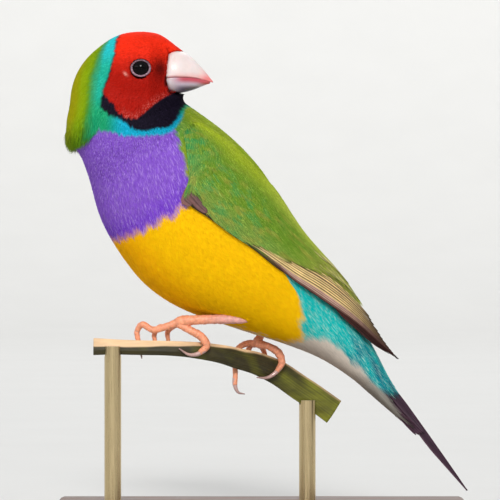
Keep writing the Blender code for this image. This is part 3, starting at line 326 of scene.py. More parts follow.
class FinchSizes(bpy.types.PropertyGroup):
    """The sizes and numbers of the feathers, and the light."""

    head_tufts: IntProperty(
        name="Head feathers", description="How many small feathers cover the head and neck", default=90000, min=1000)
    body_tufts: IntProperty(
        name="Body feathers", description="How many small feathers cover the body", default=100000, min=1000)
    wing_tufts: IntProperty(
        name="Wing coverts", description="How many small feathers cover each wing", default=22000, min=500)
    body_length: FloatProperty(
        name="Body feather length", description="Length of a small feather on the body in millimetres",
        default=3.2, min=0.5)
    head_length: FloatProperty(
        name="Head feather length", description="Length of a small feather on the head in millimetres",
        default=1.0, min=0.3)
    body_depth: FloatProperty(
        name="Body coat depth", description="Depth of the coat over the skin of the body in millimetres",
        default=0.9, min=0.2)
    head_depth: FloatProperty(
        name="Head coat depth", description="Depth of the coat over the skin of the head in millimetres",
        default=0.5, min=0.1)
    contrast: FloatProperty(
        name="Feather contrast", description="How much the small feathers differ in lightness",
        default=0.045, min=0.0)
    key_strength: FloatProperty(
        name="Key light", description="Strength of the main soft light", default=1.85, min=0.0)
    fill_strength: FloatProperty(
        name="Fill light", description="Strength of the soft light from the other side", default=2.1, min=0.0)
    back_strength: FloatProperty(
        name="Back light", description="Strength of the soft light from behind", default=0.7, min=0.0)
    sky_strength: FloatProperty(
        name="Surrounding light", description="Strength of the even light from all round", default=0.76, min=0.0)
    seed: IntProperty(name="Seed", description="Seed of every random draw", default=7, min=0)


# ---- shapes that the solids are made from


def smooth_value(table, column, where):
    """Read a column of a table at any place along its first column, by a smooth cubic."""
    keys = table[:, 0]
    values = table[:, column]
    slopes = np.gradient(values, keys)
    where = np.clip(where, keys[0], keys[-1])
    index = np.clip(np.searchsorted(keys, where) - 1, 0, len(keys) - 2)
    span = keys[index + 1] - keys[index]
    part = (where - keys[index]) / span
    rising = part * part * (3.0 - 2.0 * part)
    start_slope = part * (1.0 - part) ** 2 * span * slopes[index]
    end_slope = part * part * (part - 1.0) * span * slopes[index + 1]
    return values[index] * (1.0 - rising) + values[index + 1] * rising + start_slope + end_slope


def smooth_path(stations, count):
    """Read a table of points evenly along a smooth curve through them."""
    stations = np.asarray(stations, float)
    steps = np.linalg.norm(np.diff(stations[:, :3], axis=0), axis=1)
    keys = np.concatenate([[0.0], np.cumsum(steps)])
    table = np.column_stack([keys, stations])
    where = np.linspace(0.0, keys[-1], count)
    return np.column_stack([smooth_value(table, column, where) for column in range(1, table.shape[1])])


def ramp(value, start, end):
    """Rise smoothly from 0 at start to 1 at end."""
    part = np.clip((value - start) / (end - start), 0.0, 1.0)
    return part * part * (3.0 - 2.0 * part)


def unit(vectors):
    """Give vectors the length 1."""
    return vectors / np.maximum(np.linalg.norm(vectors, axis=-1, keepdims=True), 1e-9)


def mix(first, second, share):
    """Blend two colours or sets of colours by a share for each point."""
    return first + (second - first) * np.asarray(share)[..., None]


def axis_place(distance, height=0.0, across=0.0):
    """Turn a place told along the body into the model's frame."""
    distance, height, across = np.broadcast_arrays(distance, height, across)
    return NECK_PLACE + distance[..., None] * ALONG + height[..., None] * DORSAL + across[..., None] * SIDE


def along_body(points):
    """Tell the distance from the neck, the height and the place across of points."""
    offset = points - NECK_PLACE
    return offset @ ALONG, offset @ DORSAL, offset[..., 1]


def head_place(forwards, upwards, right):
    """Turn a place told in the head's own frame into the model's frame."""
    forwards, upwards, right = np.broadcast_arrays(forwards, upwards, right)
    east = forwards * math.cos(HEAD_TURN) + right * math.sin(HEAD_TURN)
    north = right * math.cos(HEAD_TURN) - forwards * math.sin(HEAD_TURN)
    return HEAD_CENTRE + np.stack([east, north, upwards], -1)


def on_head(points):
    """Tell points in the head's own frame: forwards, upwards, to the right."""
    offset = points - HEAD_CENTRE
    forwards = offset[..., 0] * math.cos(HEAD_TURN) - offset[..., 1] * math.sin(HEAD_TURN)
    right = offset[..., 0] * math.sin(HEAD_TURN) + offset[..., 1] * math.cos(HEAD_TURN)
    return np.stack([forwards, offset[..., 2], right], -1)


def blend_shapes(first, second, softness):
    """Join two distances into one with a soft seam."""
    share = np.clip(0.5 + 0.5 * (second - first) / softness, 0.0, 1.0)
    return second * (1.0 - share) + first * share - softness * share * (1.0 - share)


def body_distance(points):
    """Tell how far points lie outside the body, whose sections are two half ellipses."""
    distance, height, across = along_body(points)
    belly = smooth_value(BODY_SECTIONS, 1, distance)
    back = smooth_value(BODY_SECTIONS, 2, distance)
    width = smooth_value(BODY_SECTIONS, 3, distance)
    depth = np.where(height > 0.0, back, belly)
    before = np.maximum(BODY_SECTIONS[0, 0] - distance, 0.0) / NECK_ROUNDING
    behind = np.maximum(distance - BODY_SECTIONS[-1, 0], 0.0) / REAR_ROUNDING
    ratio = np.sqrt((height / depth) ** 2 + (across / width) ** 2 + (before + behind) ** 2)
    return (ratio - 1.0) * np.minimum(depth, width)


def head_distance(points):
    """Tell how far points lie outside the head, a soft union of ellipsoids in its turned frame."""
    local = on_head(points)
    start, end, share = NARROWING
    local[..., 2] /= 1.0 - share * ramp(local[..., 0], start, end) * ramp(local[..., 1], -5.5, -3.0)
    total = None
    for centre, sizes in HEAD_LUMPS:
        ratio = np.linalg.norm((local - np.array(centre)) / np.array(sizes), axis=-1)
        lump = (ratio - 1.0) * min(sizes)
        total = lump if total is None else blend_shapes(total, lump, HEAD_SOFTNESS)
    return total


def face_end(local):
    """Tell how far forwards the feathered face reaches: a line down the bill's side, a point on its ridge."""
    side = np.abs(local[..., 2])
    ridge = ramp(local[..., 1], 5.9, 6.5) * ramp(side, 3.0, 1.2)
    return FACE_END + FACE_SLANT * side + 4.4 * ridge + 8.0 * ramp(local[..., 1], -3.1, -3.9)


def flesh_distance(points):
    """Tell how far points lie outside the whole bird without wings, tail, bill and legs."""
    local = on_head(points)
    ahead = local[..., 0] - face_end(local)
    over = (local[..., 1] + BROW[0] * local[..., 0] - BROW[1]) / math.hypot(1.0, BROW[0])
    head = -blend_shapes(-head_distance(points), -ahead, FACE_SOFTNESS)
    head = -blend_shapes(-head, -over, BROW[2])
    return blend_shapes(body_distance(points), head, NECK_SOFTNESS)


def flesh_slope(points):
    """Give the distance outside the flesh in true millimetres, and the direction straight out of it."""
    step = 0.05
    here = flesh_distance(points)
    slope = np.stack([flesh_distance(points + step * way) - here for way in np.eye(3)], -1) / step
    steepness = np.maximum(np.linalg.norm(slope, axis=-1), 1e-6)
    return here / steepness, slope / steepness[..., None]


def settled(points, height):
    """Move points straight in or out until they lie at a height over the flesh."""
    for _ in range(2):
        reach, outwards = flesh_slope(points)
        points = points - outwards * (reach - height)[..., None]
    return points, outwards


def skin_rays(rows, turns):
    """Give the start and direction of the ray for each row and each turn round the spine."""
    rows, turns = np.meshgrid(rows, turns, indexing="ij")
    straight = np.clip(rows, 0.0, 1.0)
    bend = np.clip(rows - 1.0, 0.0, 1.0)[..., None]
    tilt = (rows.clip(2.0, 3.0) - 2.0) * math.pi / 2
    front = axis_place(SKIN_FRONT)
    curve = (1 - bend) ** 2 * front + 2 * bend * (1 - bend) * BEND_HANDLE + bend ** 2 * HEAD_CENTRE
    line = axis_place(SKIN_REAR + (SKIN_FRONT - SKIN_REAR) * straight)
    centre = np.where(rows[..., None] <= 1.0, line, curve)
    slope = BODY_SLOPE * (1.0 - bend[..., 0])
    forwards = np.stack([np.sin(slope), 0 * slope, np.cos(slope)], -1)
    dorsal = np.stack([np.cos(slope), 0 * slope, -np.sin(slope)], -1)
    angle = turns * 2 * math.pi
    outwards = np.cos(angle)[..., None] * dorsal + np.sin(angle)[..., None] * SIDE
    return centre, np.cos(tilt)[..., None] * outwards + np.sin(tilt)[..., None] * forwards


@functools.lru_cache(maxsize=1)
def skin_sheet():
    """Find the outside of the flesh on a grid of rows and turns, and the directions straight out of it.

    Along each ray from the spine the first step outside is found, and then halving closes in on it.
    """
    rows = np.linspace(0.0, LAST_ROW, SKIN_ROWS)
    turns = np.arange(SKIN_AROUND) / SKIN_AROUND
    centre, direction = skin_rays(rows, turns)
    steps = np.linspace(0.0, REACH, 24)
    outside = flesh_distance(centre[..., None, :] + steps[:, None] * direction[..., None, :]) > 0.0
    first = np.maximum(np.argmax(outside, axis=-1), 1)
    high = steps[first]
    low = steps[first - 1]
    for _ in range(14):
        middle = (low + high) / 2
        beyond = flesh_distance(centre + middle[..., None] * direction) > 0.0
        high = np.where(beyond, middle, high)
        low = np.where(beyond, low, middle)
    points = centre + high[..., None] * direction
    return points, flesh_slope(points)[1]


def read_sheet(grid, rows, turns):
    """Read a grid of the skin between its points, round the seam too."""
    high = rows / LAST_ROW * (SKIN_ROWS - 1)
    wide = turns * SKIN_AROUND
    low_row = np.clip(high.astype(int), 0, SKIN_ROWS - 2)
    low_turn = wide.astype(int) % SKIN_AROUND
    next_turn = (low_turn + 1) % SKIN_AROUND
    up = (high - low_row)[:, None]
    over = (wide - np.floor(wide))[:, None]
    lower = grid[low_row, low_turn] * (1 - over) + grid[low_row, next_turn] * over
    upper = grid[low_row + 1, low_turn] * (1 - over) + grid[low_row + 1, next_turn] * over
    return lower * (1 - up) + upper * up


def wing_angles(distance):
    """Tell the angles from the middle line of the wing's upper and lower edge."""
    width = smooth_value(WING_SECTIONS, 1, distance)
    back = smooth_value(WING_SECTIONS, 2, distance)
    edge = smooth_value(WING_SECTIONS, 3, distance)
    low = smooth_value(WING_SECTIONS, 4, distance)
    belly = smooth_value(BODY_SECTIONS, 1, distance)
    upper = np.arcsin(np.clip(edge / width, 0.0, 1.0))
    lower = np.arccos(np.clip(low / np.where(low > 0.0, back, belly), -1.0, 1.0))
    return upper, lower


def wing_shape(distance, across):
    """Give the outer face of the left wing at a distance from the neck and a place across."""
    upper, lower = wing_angles(distance)
    angle = upper + (lower - upper) * across
    width = smooth_value(WING_SECTIONS, 1, distance)
    back = smooth_value(WING_SECTIONS, 2, distance)
    belly = smooth_value(BODY_SECTIONS, 1, distance)
    height = np.cos(angle) * np.where(angle < math.pi / 2, back, belly)
    return axis_place(distance, height, -width * np.sin(angle))


def wing_face(distance, across, lift):
    """Give points of the left wing, lifted outwards from its outer face."""
    step = 0.01
    base = wing_shape(distance, across)
    rear = wing_shape(distance + step * 10, across) - base
    down = wing_shape(distance, across + step) - base
    normal = unit(np.cross(rear, down))
    outwards = np.where((normal[..., 1:2] * -1.0 + normal @ DORSAL[:, None]) > 0.0, 1.0, -1.0)
    return base + normal * outwards * np.asarray(lift)[..., None]


def wing_width(distance):
    """Tell the width of the wing across its face."""
    places = np.linspace(0.0, 1.0, 9)[:, None]
    distance = np.atleast_1d(distance)
    line = wing_shape(np.broadcast_to(distance, (9, len(distance))), np.broadcast_to(places, (9, len(distance))))
    return np.linalg.norm(np.diff(line, axis=0), axis=-1).sum(axis=0)


def under_wing(points):
    """Tell how surely points of the skin lie under a wing, from 0 to 1."""
    distance, height, across = along_body(points)
    width = smooth_value(WING_SECTIONS, 1, distance)
    back = smooth_value(WING_SECTIONS, 2, distance)
    belly = smooth_value(BODY_SECTIONS, 1, distance)
    angle = np.arctan2(np.abs(across) / width, height / np.where(height > 0.0, back, belly))
    upper, lower = wing_angles(distance)
    place = (angle - upper) / (lower - upper)
    along = ramp(distance, WING_START - 1.5, WING_START + 1.5) * ramp(distance, 74.0, 66.0)
    free = 0.3 * ramp(distance, 54.0, 66.0)
    return along * ramp(place, -0.03, 0.06) * ramp(place, 0.95 - free, 0.85 - free)


def eye_frame(side):
    """Give the middle of the lids and the way the eye looks, on the far (1) or near (-1) side of the head."""
    place = head_place(EYE_PLACE[0], EYE_PLACE[1], side * EYE_PLACE[2])
    look = head_place(EYE_LOOK[0], EYE_LOOK[1], side * EYE_LOOK[2]) - HEAD_CENTRE
    return place, unit(look)


def from_eye(points):
    """Tell the distance of points from the axis of the nearer eye, and the way straight from that axis."""
    best = None
    for side in (-1.0, 1.0):
        place, look = eye_frame(side)
        offset = points - place
        depth = offset @ look
        away = offset - depth[..., None] * look
        reach = np.linalg.norm(away, axis=-1) + 50.0 * (depth < -6.0)
        if best is None:
            best = reach, away
        else:
            nearer = reach < best[0]
            best = np.where(nearer, reach, best[0]), np.where(nearer[..., None], away, best[1])
    return best[0], unit(best[1])


def in_bill(points, margin):
    """Tell which points lie inside the bill's outline, grown by a margin."""
    local = on_head(points)
    forwards = np.clip(local[..., 0], BILL_SECTIONS[0, 0], BILL_SECTIONS[-1, 0])
    culmen = smooth_value(BILL_SECTIONS, 1, forwards)
    mouth = smooth_value(BILL_SECTIONS, 2, forwards)
    keel = smooth_value(BILL_SECTIONS, 3, forwards)
    width = smooth_value(BILL_SECTIONS, 4, forwards)
    rise = local[..., 1] - mouth
    reach = np.where(rise > 0.0, culmen - mouth, mouth - keel) + margin
    inside = (rise / reach) ** 2 + (local[..., 2] / (width + margin)) ** 2 < 1.0
    return inside & (local[..., 0] > BILL_SECTIONS[0, 0])


# ---- markings


def linear(colour):
    """Turn a colour as shown into the amounts of light it stands for."""
    colour = np.array(colour[:3], float)
    return np.where(colour <= 0.04045, colour / 12.92, ((colour + 0.055) / 1.055) ** 2.4)


def palette():
    """Give every colour of the bird as amounts of light, by name."""
    colours = bpy.context.scene.finch_colours
    return {name: linear(getattr(colours, name)) for name in FinchColours.__annotations__}


def ripples(points, wavelength, seed):
    """Give a smooth pattern without order: a sum of waves in many directions, mostly from -1 to 1."""
    draw = np.random.default_rng(seed)
    waves = unit(draw.normal(size=(9, 3))) * 2 * math.pi / wavelength * draw.uniform(0.6, 1.5, (9, 1))
    return np.sin(points @ waves.T + draw.uniform(0.0, 2 * math.pi, 9)).sum(-1) / 3.0


def outline_distance(places, outline):
    """Tell how far flat places lie outside a closed outline; inside it the distance is negative."""
    start = outline
    way = np.roll(outline, -1, axis=0) - outline
    offset = places[..., None, :] - start
    part = np.clip((offset * way).sum(-1) / (way * way).sum(-1), 0.0, 1.0)
    reach = np.linalg.norm(offset - part[..., None] * way, axis=-1).min(-1)
    after = np.roll(outline, -1, axis=0)
    level = places[..., None, 1]
    between = (start[:, 1] > level) != (after[:, 1] > level)
    rise = np.where(way[:, 1] == 0.0, 1.0, way[:, 1])
    crossing = start[:, 0] + (level - start[:, 1]) / rise * way[:, 0]
    inside = (between & (places[..., None, 0] < crossing)).sum(-1) % 2 == 1
    return np.where(inside, -reach, reach)


def inside_share(places, outline, softness):
    """Tell how much of each place is inside an outline with a soft edge."""
    return np.clip(0.5 - outline_distance(places, outline) / softness, 0.0, 1.0)


def body_colours(points, tints):
    """Give the colours of the body and of the flecks in them, partly pale tips and partly painted glints: breast,
    belly, flank, rump, vent and mantle.
    """
    distance, height, _ = along_body(points)
    wander = 0.5 * ripples(points, 2.2, 21)
    low = np.maximum(-4.0 - height, 0.0) / 18.0
    border = BREAST_END - 6.3 * low ** 2 + wander
    breast = mix(tints["breast"], tints["breast_low"], ramp(distance, border - 7.0, border - 0.5) * 0.75)
    # Darker yellow low on the rear belly, partly its own tone and partly painted shade.
    belly = mix(tints["belly"], tints["belly_low"], ramp(height, -10.0, -20.0) * ramp(distance, 30.0, 46.0))
    # The lower front of the belly is brighter orange, partly its own tone and partly painted light.
    belly = mix(belly, tints["belly_front"], ramp(height, -13.0, -21.0) * ramp(distance, 46.0, 34.0))
    colour = mix(breast, belly, ramp(distance, border - 0.25, border + 0.25))
    fleck_and_glint = mix(tints["breast_fleck"], tints["belly"] * 1.05, distance > border)
    rear = np.interp(height, YELLOW_EDGE[:, 0], YELLOW_EDGE[:, 1]) + wander
    blue = mix(tints["flank"], tints["rump"], ramp(distance, 67.0, 75.0) * (0.75 + 0.35 * ripples(points, 4.0, 5)))
    share = ramp(distance, rear - 0.4, rear + 0.6)
    colour = mix(colour, blue, share)
    fleck_and_glint = mix(fleck_and_glint, tints["rump_fleck"], share)
    dark = ramp(distance - TAIL_DARK[0] - TAIL_DARK[1] * height, -0.5, 0.5)
    colour = mix(colour, tints["tail"], dark)
    fleck_and_glint = mix(fleck_and_glint, tints["tail_edge"], dark)
    edge = np.interp(distance, WHITE_EDGE[:, 0], WHITE_EDGE[:, 1])
    wave = wander * ramp(distance, 86.0, 80.0)
    share = ramp(height, edge + 0.4 + wave, edge - 0.3 + wave)
    # Towards the tail the pale vent gives way to painted shade.
    pale = mix(tints["vent"], tints["tail_base"], ramp(distance, 75.0, 86.0))
    colour = mix(colour, pale, share)
    fleck_and_glint = mix(fleck_and_glint, pale * 1.1, share)
    edge = np.interp(distance, MANTLE_EDGE[:, 0], MANTLE_EDGE[:, 1])
    share = ramp(height, edge - 0.3 + wander, edge + 0.5 + wander)
    green = mix(tints["mantle"], tints["nape"], 0.5 + 0.5 * ripples(points, 4.0, 8))
    green = mix(green, tints["wing_teal"], ramp(distance, 15.0, 6.0) * ramp(height, 13.0, 8.0) * 0.75)
    colour = mix(colour, green, share)
    fleck_and_glint = mix(fleck_and_glint, tints["mantle_fleck"], share)
    return colour, fleck_and_glint


def cape_edge(points):
    """Tell the height at which the green cape ends, which differs between the two sides of the neck."""
    near = np.interp(points[..., 0], CAPE_NEAR[:, 0], CAPE_NEAR[:, 1])
    near = np.minimum(near + 40.0 * (points[..., 0] > CAPE_NEAR[-1, 0]), CAPE_TOP)
    far = np.interp(points[..., 0], CAPE_FAR[:, 0], CAPE_FAR[:, 1])
    return far + (near - far) * ramp(points[..., 1], 1.5, -3.0)


def plumage(points, tints):
    """Give the colour of each point of the plumage, and the colour of the flecks there, partly pale tips and partly
    painted glints.

    The head's outlines are laid over the cape, the cape over the body; each edge wanders a little.
    """
    colour, fleck_and_glint = body_colours(points, tints)
    local = on_head(points)
    wander = 0.15 * ripples(points, 1.3, 3)
    places = local[..., :2] + wander[..., None]
    edge = cape_edge(points)
    cape = ramp(points[..., 2], edge - 0.6 + 3 * wander, edge + 0.6 + 3 * wander)
    band_reach = outline_distance(places, BAND_OUTLINE)
    green = mix(tints["nape_low"], tints["nape"], ramp(band_reach, 0.2, 2.6))
    green = mix(green, tints["nape_rear"], ramp(band_reach, 2.6, 5.5))
    green = mix(green, tints["nape_low"], ramp(points[..., 2], 99.0, 94.0) * 0.6)
    colour = mix(colour, green, cape)
    fleck_and_glint = mix(fleck_and_glint, green * 1.3 + 0.02, cape)
    band = mix(tints["band"], tints["band_top"], ramp(local[..., 1], 2.0, 8.0))
    band = mix(band, tints["band_rear"], ramp(local[..., 1], -3.0, -8.0))
    band = mix(band, tints["band_low"], ramp(local[..., 0], -3.0, 2.5) * ramp(local[..., 1], -7.0, -10.0))
    share = np.clip(0.5 - band_reach / (0.5 + 2.0 * ramp(local[..., 0], -3.0, -5.0)), 0.0, 1.0)
    colour = mix(colour, band, share)
    fleck_and_glint = mix(fleck_and_glint, band * 1.5 + 0.03, share)
    share = inside_share(places, BLACK_OUTLINE, 0.45)
    colour = mix(colour, tints["bib"], share)
    fleck_and_glint = mix(fleck_and_glint, tints["bib"] * 3.0, share)
    share = inside_share(places, RED_OUTLINE, 0.35)
    red = mix(tints["face"], tints["crown"], ramp(local[..., 1], 0.0, 8.5))
    reach = outline_distance(places, RED_OUTLINE)
    # Painted glints: some tufts near the red's lower front edge lean to pale pink.
    glint_edge = ramp(reach, -2.2, -0.2) * ramp(local[..., 1], -2.0, -4.5) * ramp(local[..., 0], 0.0, 3.0)
    colour = mix(colour, red, share)
    fleck_and_glint = mix(fleck_and_glint, mix(red * 1.25 + 0.01, tints["cheek_fleck"], glint_edge), share)
    # Painted shade in the hollow in front of the eye and at the gape of the mouth.
    shade = 0.75 * np.exp(-((local[..., 0] - 9.6) / 1.4) ** 2 - ((local[..., 1] - 2.4) / 2.2) ** 2)
    gape = ramp(local[..., 0], 10.1, 10.6) * ramp(local[..., 1], 1.2, 0.4) * ramp(local[..., 1], -2.4, -1.4)
    colour = mix(colour, tints["lores"], np.maximum(shade, 0.9 * gape))
    fleck_and_glint = mix(fleck_and_glint, tints["lores"], np.maximum(shade, 0.9 * gape))
    # A pale pink spot behind the eye, on the near side only.
    slant = np.stack([local[..., 0] - 1.95 - local[..., 1] + 1.0, local[..., 0] - 1.95 + local[..., 1] - 1.0], -1)
    near_pale_spot_share = np.exp(-(slant[..., 0] / 0.85) ** 2 - (slant[..., 1] / 0.32) ** 2) * (local[..., 2] < 0.0)
    colour = mix(colour, tints["cheek_mark"], near_pale_spot_share)
    return colour, fleck_and_glint


def wing_colours(distance, across, points, tints):
    """Give the colours of the wing's small feathers and of their flecks, lighter copies as painted glints mixed with
    the pale mantle flecks, in long streaks along the wing.
    """
    streak = points - 0.5 * ((points - NECK_PLACE) @ ALONG)[..., None] * ALONG
    colour = mix(tints["mantle"], tints["wing"], ramp(across, 0.08, 0.4))
    colour = mix(colour, tints["wing_low"], ramp(across, 0.6, 0.95) * 0.6)
    olive = ramp(ripples(streak, 2.2, 31), 0.2, 1.0) * ramp(across, 0.2, 0.45)
    colour = mix(colour, tints["wing_olive"], olive * 0.4)
    teal = ramp(ripples(streak, 2.8, 32) + 0.8 * ripples(streak, 0.8, 34), -0.2, 1.5) * ramp(across, 0.3, 0.5) * ramp(distance, 44.0, 30.0) * 0.55
    front = ramp(distance, 20.0, 11.0) * ramp(across, 0.3, 0.5) * ramp(ripples(streak, 2.0, 33), -0.6, 0.5)
    colour = mix(colour, tints["wing_teal"], np.maximum(teal, front * 0.85))
    colour = mix(colour, tints["mantle_fleck"], ramp(across, 0.4, 0.05) * ramp(distance, 24.0, 42.0) * 0.55)
    colour = mix(colour, tints["tertial"], ramp(distance, 44.0, 56.0) * 0.7)
    return colour, mix(colour * 1.4, tints["mantle_fleck"], 0.5)


# ---- meshes


def make_piece(name, points, face_sets, colours, places, nodes=(), smooth=True):
    """Make one closed object from points in millimetres and sets of faces with equal numbers of corners.

    Faces are turned so that the enclosed volume is positive. Colours belong to points, and places are each
    face corner's place on the flat map.
    """
    points = np.asarray(points, float).reshape(-1, 3)
    volume = 0.0
    for faces in face_sets:
        corner = points[faces[:, 0]]
        for step in range(1, faces.shape[1] - 1):
            volume += (corner * np.cross(points[faces[:, step]], points[faces[:, step + 1]])).sum()
    if volume < 0.0:
        face_sets = [faces[:, ::-1] for faces in face_sets]
        starts = np.cumsum([0] + [faces.size for faces in face_sets])
        turned = [places[start:start + faces.size].reshape(*faces.shape, 2)[:, ::-1].reshape(-1, 2)
                  for start, faces in zip(starts, face_sets)]
        places = np.concatenate(turned)
    mesh = bpy.data.meshes.new(name)
    corners = np.concatenate([faces.ravel() for faces in face_sets]).astype(np.int32)
    sizes = np.concatenate([np.full(len(faces), faces.shape[1]) for faces in face_sets])
    starts = np.concatenate([[0], np.cumsum(sizes)[:-1]]).astype(np.int32)
    mesh.vertices.add(len(points))
    mesh.vertices.foreach_set("co", (points * MM).astype(np.float32).ravel())
    mesh.loops.add(len(corners))
    mesh.loops.foreach_set("vertex_index", corners)
    mesh.polygons.add(len(sizes))
    mesh.polygons.foreach_set("loop_start", starts)
    mesh.polygons.foreach_set("use_smooth", np.full(len(sizes), smooth))
    mesh.update(calc_edges=True)
    layer = mesh.color_attributes.new(COLOUR_LAYER, "FLOAT_COLOR", "POINT")
    shades = np.ones((len(points), 4), np.float32)
    shades[:, :3] = np.clip(np.asarray(colours).reshape(-1, 3), 0.0, 1.0)
    layer.data.foreach_set("color", shades.ravel())
    chart = mesh.uv_layers.new(name=BAKE_MAP)
    chart.data.foreach_set("uv", np.asarray(places, np.float32).ravel())
    item = bpy.data.objects.new(name, mesh)
    bpy.context.scene.collection.objects.link(item)
    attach(item, "root")
    if nodes:
        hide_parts(*nodes)
    return item


def loft_faces(count, rings, around):
    """List the quads of many closed lofts and the triangles that close each end on a middle point.

    Each loft has its rings of points first, and then the middle points of its first and last ring.
    """
    size = rings * around + 2
    ring, step = np.meshgrid(np.arange(rings - 1), np.arange(around), indexing="ij")
    after = (step + 1) % around
    quads = np.stack([ring * around + step, ring * around + after,
                      (ring + 1) * around + after, (ring + 1) * around + step], -1).reshape(-1, 4)
    step = np.arange(around)
    after = (step + 1) % around
    first = np.stack([after, step, np.full(around, rings * around)], -1)
    base = (rings - 1) * around
    last = np.stack([base + step, base + after, np.full(around, rings * around + 1)], -1)
    shift = (np.arange(count) * size)[:, None, None]
    quads = (quads + shift).reshape(-1, 4)
    caps = (np.concatenate([first, last]) + shift).reshape(-1, 3)
    return quads, caps


def loft_places(count, rings, around):
    """Lay each loft out flat in a cell of its own, as a quad's four corners and a cap's three."""
    cells = math.ceil(math.sqrt(count))
    room = 0.94 / cells
    high = np.linspace(0.03, 0.97, rings)
    wide = np.linspace(0.0, 1.0, around + 1)
    ring, step = np.meshgrid(np.arange(rings - 1), np.arange(around), indexing="ij")
    corner = [(step, ring), (step + 1, ring), (step + 1, ring + 1), (step, ring + 1)]
    quads = np.stack([np.stack([wide[a], high[b]], -1) for a, b in corner], -2).reshape(-1, 4, 2)
    step = np.arange(around)
    middle = (wide[:-1] + wide[1:]) / 2
    first = np.stack([np.stack([wide[step + 1], np.full(around, high[0])], -1),
                      np.stack([wide[step], np.full(around, high[0])], -1),
                      np.stack([middle, np.zeros(around)], -1)], -2)
    last = np.stack([np.stack([wide[step], np.full(around, high[-1])], -1),
                     np.stack([wide[step + 1], np.full(around, high[-1])], -1),
                     np.stack([middle, np.ones(around)], -1)], -2)
    cell = np.arange(count)
    origin = np.stack([cell % cells, cell // cells], -1) / cells + 0.03 / cells
    quads = quads * room + origin[:, None, None, :]
    caps = np.concatenate([first, last]) * room + origin[:, None, None, :]
    return np.concatenate([quads.reshape(-1, 2), caps.reshape(-1, 2)])


def make_lofts(name, rings, colours, nodes=()):
    """Make one object of closed lofts: a set of shapes, each a stack of rings of points."""
    rings = np.asarray(rings, float)
    if rings.ndim == 3:
        rings = rings[None]
    count, stack, around = rings.shape[:3]
    colours = np.broadcast_to(colours, rings.shape)
    ends = np.stack([rings[:, 0].mean(1), rings[:, -1].mean(1)], 1)
    end_colours = np.stack([colours[:, 0].mean(1), colours[:, -1].mean(1)], 1)
    points = np.concatenate([rings.reshape(count, -1, 3), ends], 1)
    shades = np.concatenate([colours.reshape(count, -1, 3), end_colours], 1)
    faces = loft_faces(count, stack, around)
    return make_piece(name, points, faces, shades, loft_places(count, stack, around), nodes)


def tube_rings(path, around):
    """Carry a circle along a path of points with radii; each circle stands across the path.

    The circle's first direction is turned along with the path from one point to the next.
    """
    tangent = unit(np.gradient(path[:, :3], axis=0))
    start = np.cross(tangent[0], SIDE)
    if np.linalg.norm(start) < 0.2:
        start = np.cross(tangent[0], UP)
    first = [unit(start)]
    for way in tangent[1:]:
        first.append(unit(first[-1] - way * (first[-1] @ way)))
    first = np.array(first)
    second = np.cross(tangent, first)
    angle = np.arange(around) / around * 2 * math.pi
    circle = np.cos(angle)[None, :, None] * first[:, None] + np.sin(angle)[None, :, None] * second[:, None]
    return path[:, None, :3] + circle * path[:, 3][:, None, None], circle


def tuft_points(root, middle, tip, outwards, side, width, thickness):
    """Give the five points of each tuft: its root, a flat three-sided bend, and its tip."""
    half = side * (width / 2)[:, None]
    return np.stack([root, middle - half, middle + half, middle + outwards * thickness[:, None], tip], 1)


TUFT_FACES = np.array([(1, 2, 4), (2, 3, 4), (3, 1, 4), (2, 1, 0), (3, 2, 0), (1, 3, 0)])
# Painted shade and light along each tuft (root, two sides, ridge, tip): root and sides darkened, tip lightened.
TUFT_PAINTED_SHADING = np.array([0.85, 0.93, 0.93, 1.0, 1.05])
TUFT_SPREAD = np.array([(0.0, -1.0), (-1.0, 0.0), (1.0, 0.0), (0.0, 0.2), (0.0, 1.0)])
TUFT_LEAN = np.array([0.0, -0.3, 0.3, 0.0, 0.0])
PATCH = 0.0015


def make_tufts(name, points, outwards, colours, chart, nodes=()):
    """Make one coat piece of tufts, with each tuft a small patch of the flat map at its root's place.

    Colours are given for each corner of each tuft. The tufts are shaded by the direction out of the skin, leaning a little to each tuft's own sides, so
    that the coat looks silky and not like scales.
    """
    count, corners = points.shape[:2]
    faces = (TUFT_FACES[None] + corners * np.arange(count)[:, None, None]).reshape(-1, 3)
    # Each corner's colour takes the painted shade and light of its place on the tuft.
    shades = colours * TUFT_PAINTED_SHADING[None, :, None]
    spots = chart[:, None, :] + TUFT_SPREAD[None] * PATCH
    places = spots[:, TUFT_FACES].reshape(-1, 2)
    item = make_piece(name, points.reshape(-1, 3), [faces], shades, places, nodes)
    side = unit(points[:, 2] - points[:, 1])
    facing = unit(outwards[:, None, :] + side[:, None, :] * TUFT_LEAN[None, :, None])
    item.data.normals_split_custom_set_from_vertices(facing.reshape(-1, 3).astype(np.float32))
    return item


def scatter(weights, count, draw):
    """Pick places on a grid of cells, evenly by weight, and give each a random spot in its cell."""
    total = np.cumsum(weights.ravel())
    marks = (np.arange(count) + draw.uniform(0.0, 1.0, count)) / count * total[-1]
    cell = np.minimum(np.searchsorted(total, marks), weights.size - 1)
    return cell // weights.shape[1], cell % weights.shape[1], draw.uniform(0.0, 1.0, (count, 2))


def shade_tufts(painted, seen, tints, draw, contrast, flecked=0.8):
    """Paint each corner of the tufts, seen as the places of their root, bend and tip.

    Some tufts lean to the fleck colour, partly pale tips and partly painted glints, and all differ a little
    in lightness and in how far the colour changes along them.
    """
    count = len(seen[1])
    share = draw.uniform(0.0, 1.0, count) ** 5 * flecked
    shade = np.exp(draw.normal(0.0, contrast, count))
    change = draw.uniform(0.25, 1.0, count)
    bend, fleck_and_glint = painted(seen[1], tints)
    tones = [mix(bend, painted(place, tints)[0], change) for place in (seen[0], seen[2])]
    corners = np.stack([tones[0], bend, bend, bend, tones[1]], 1)
    return mix(corners, fleck_and_glint[:, None], share[:, None]) * shade[:, None, None]


# ---- materials


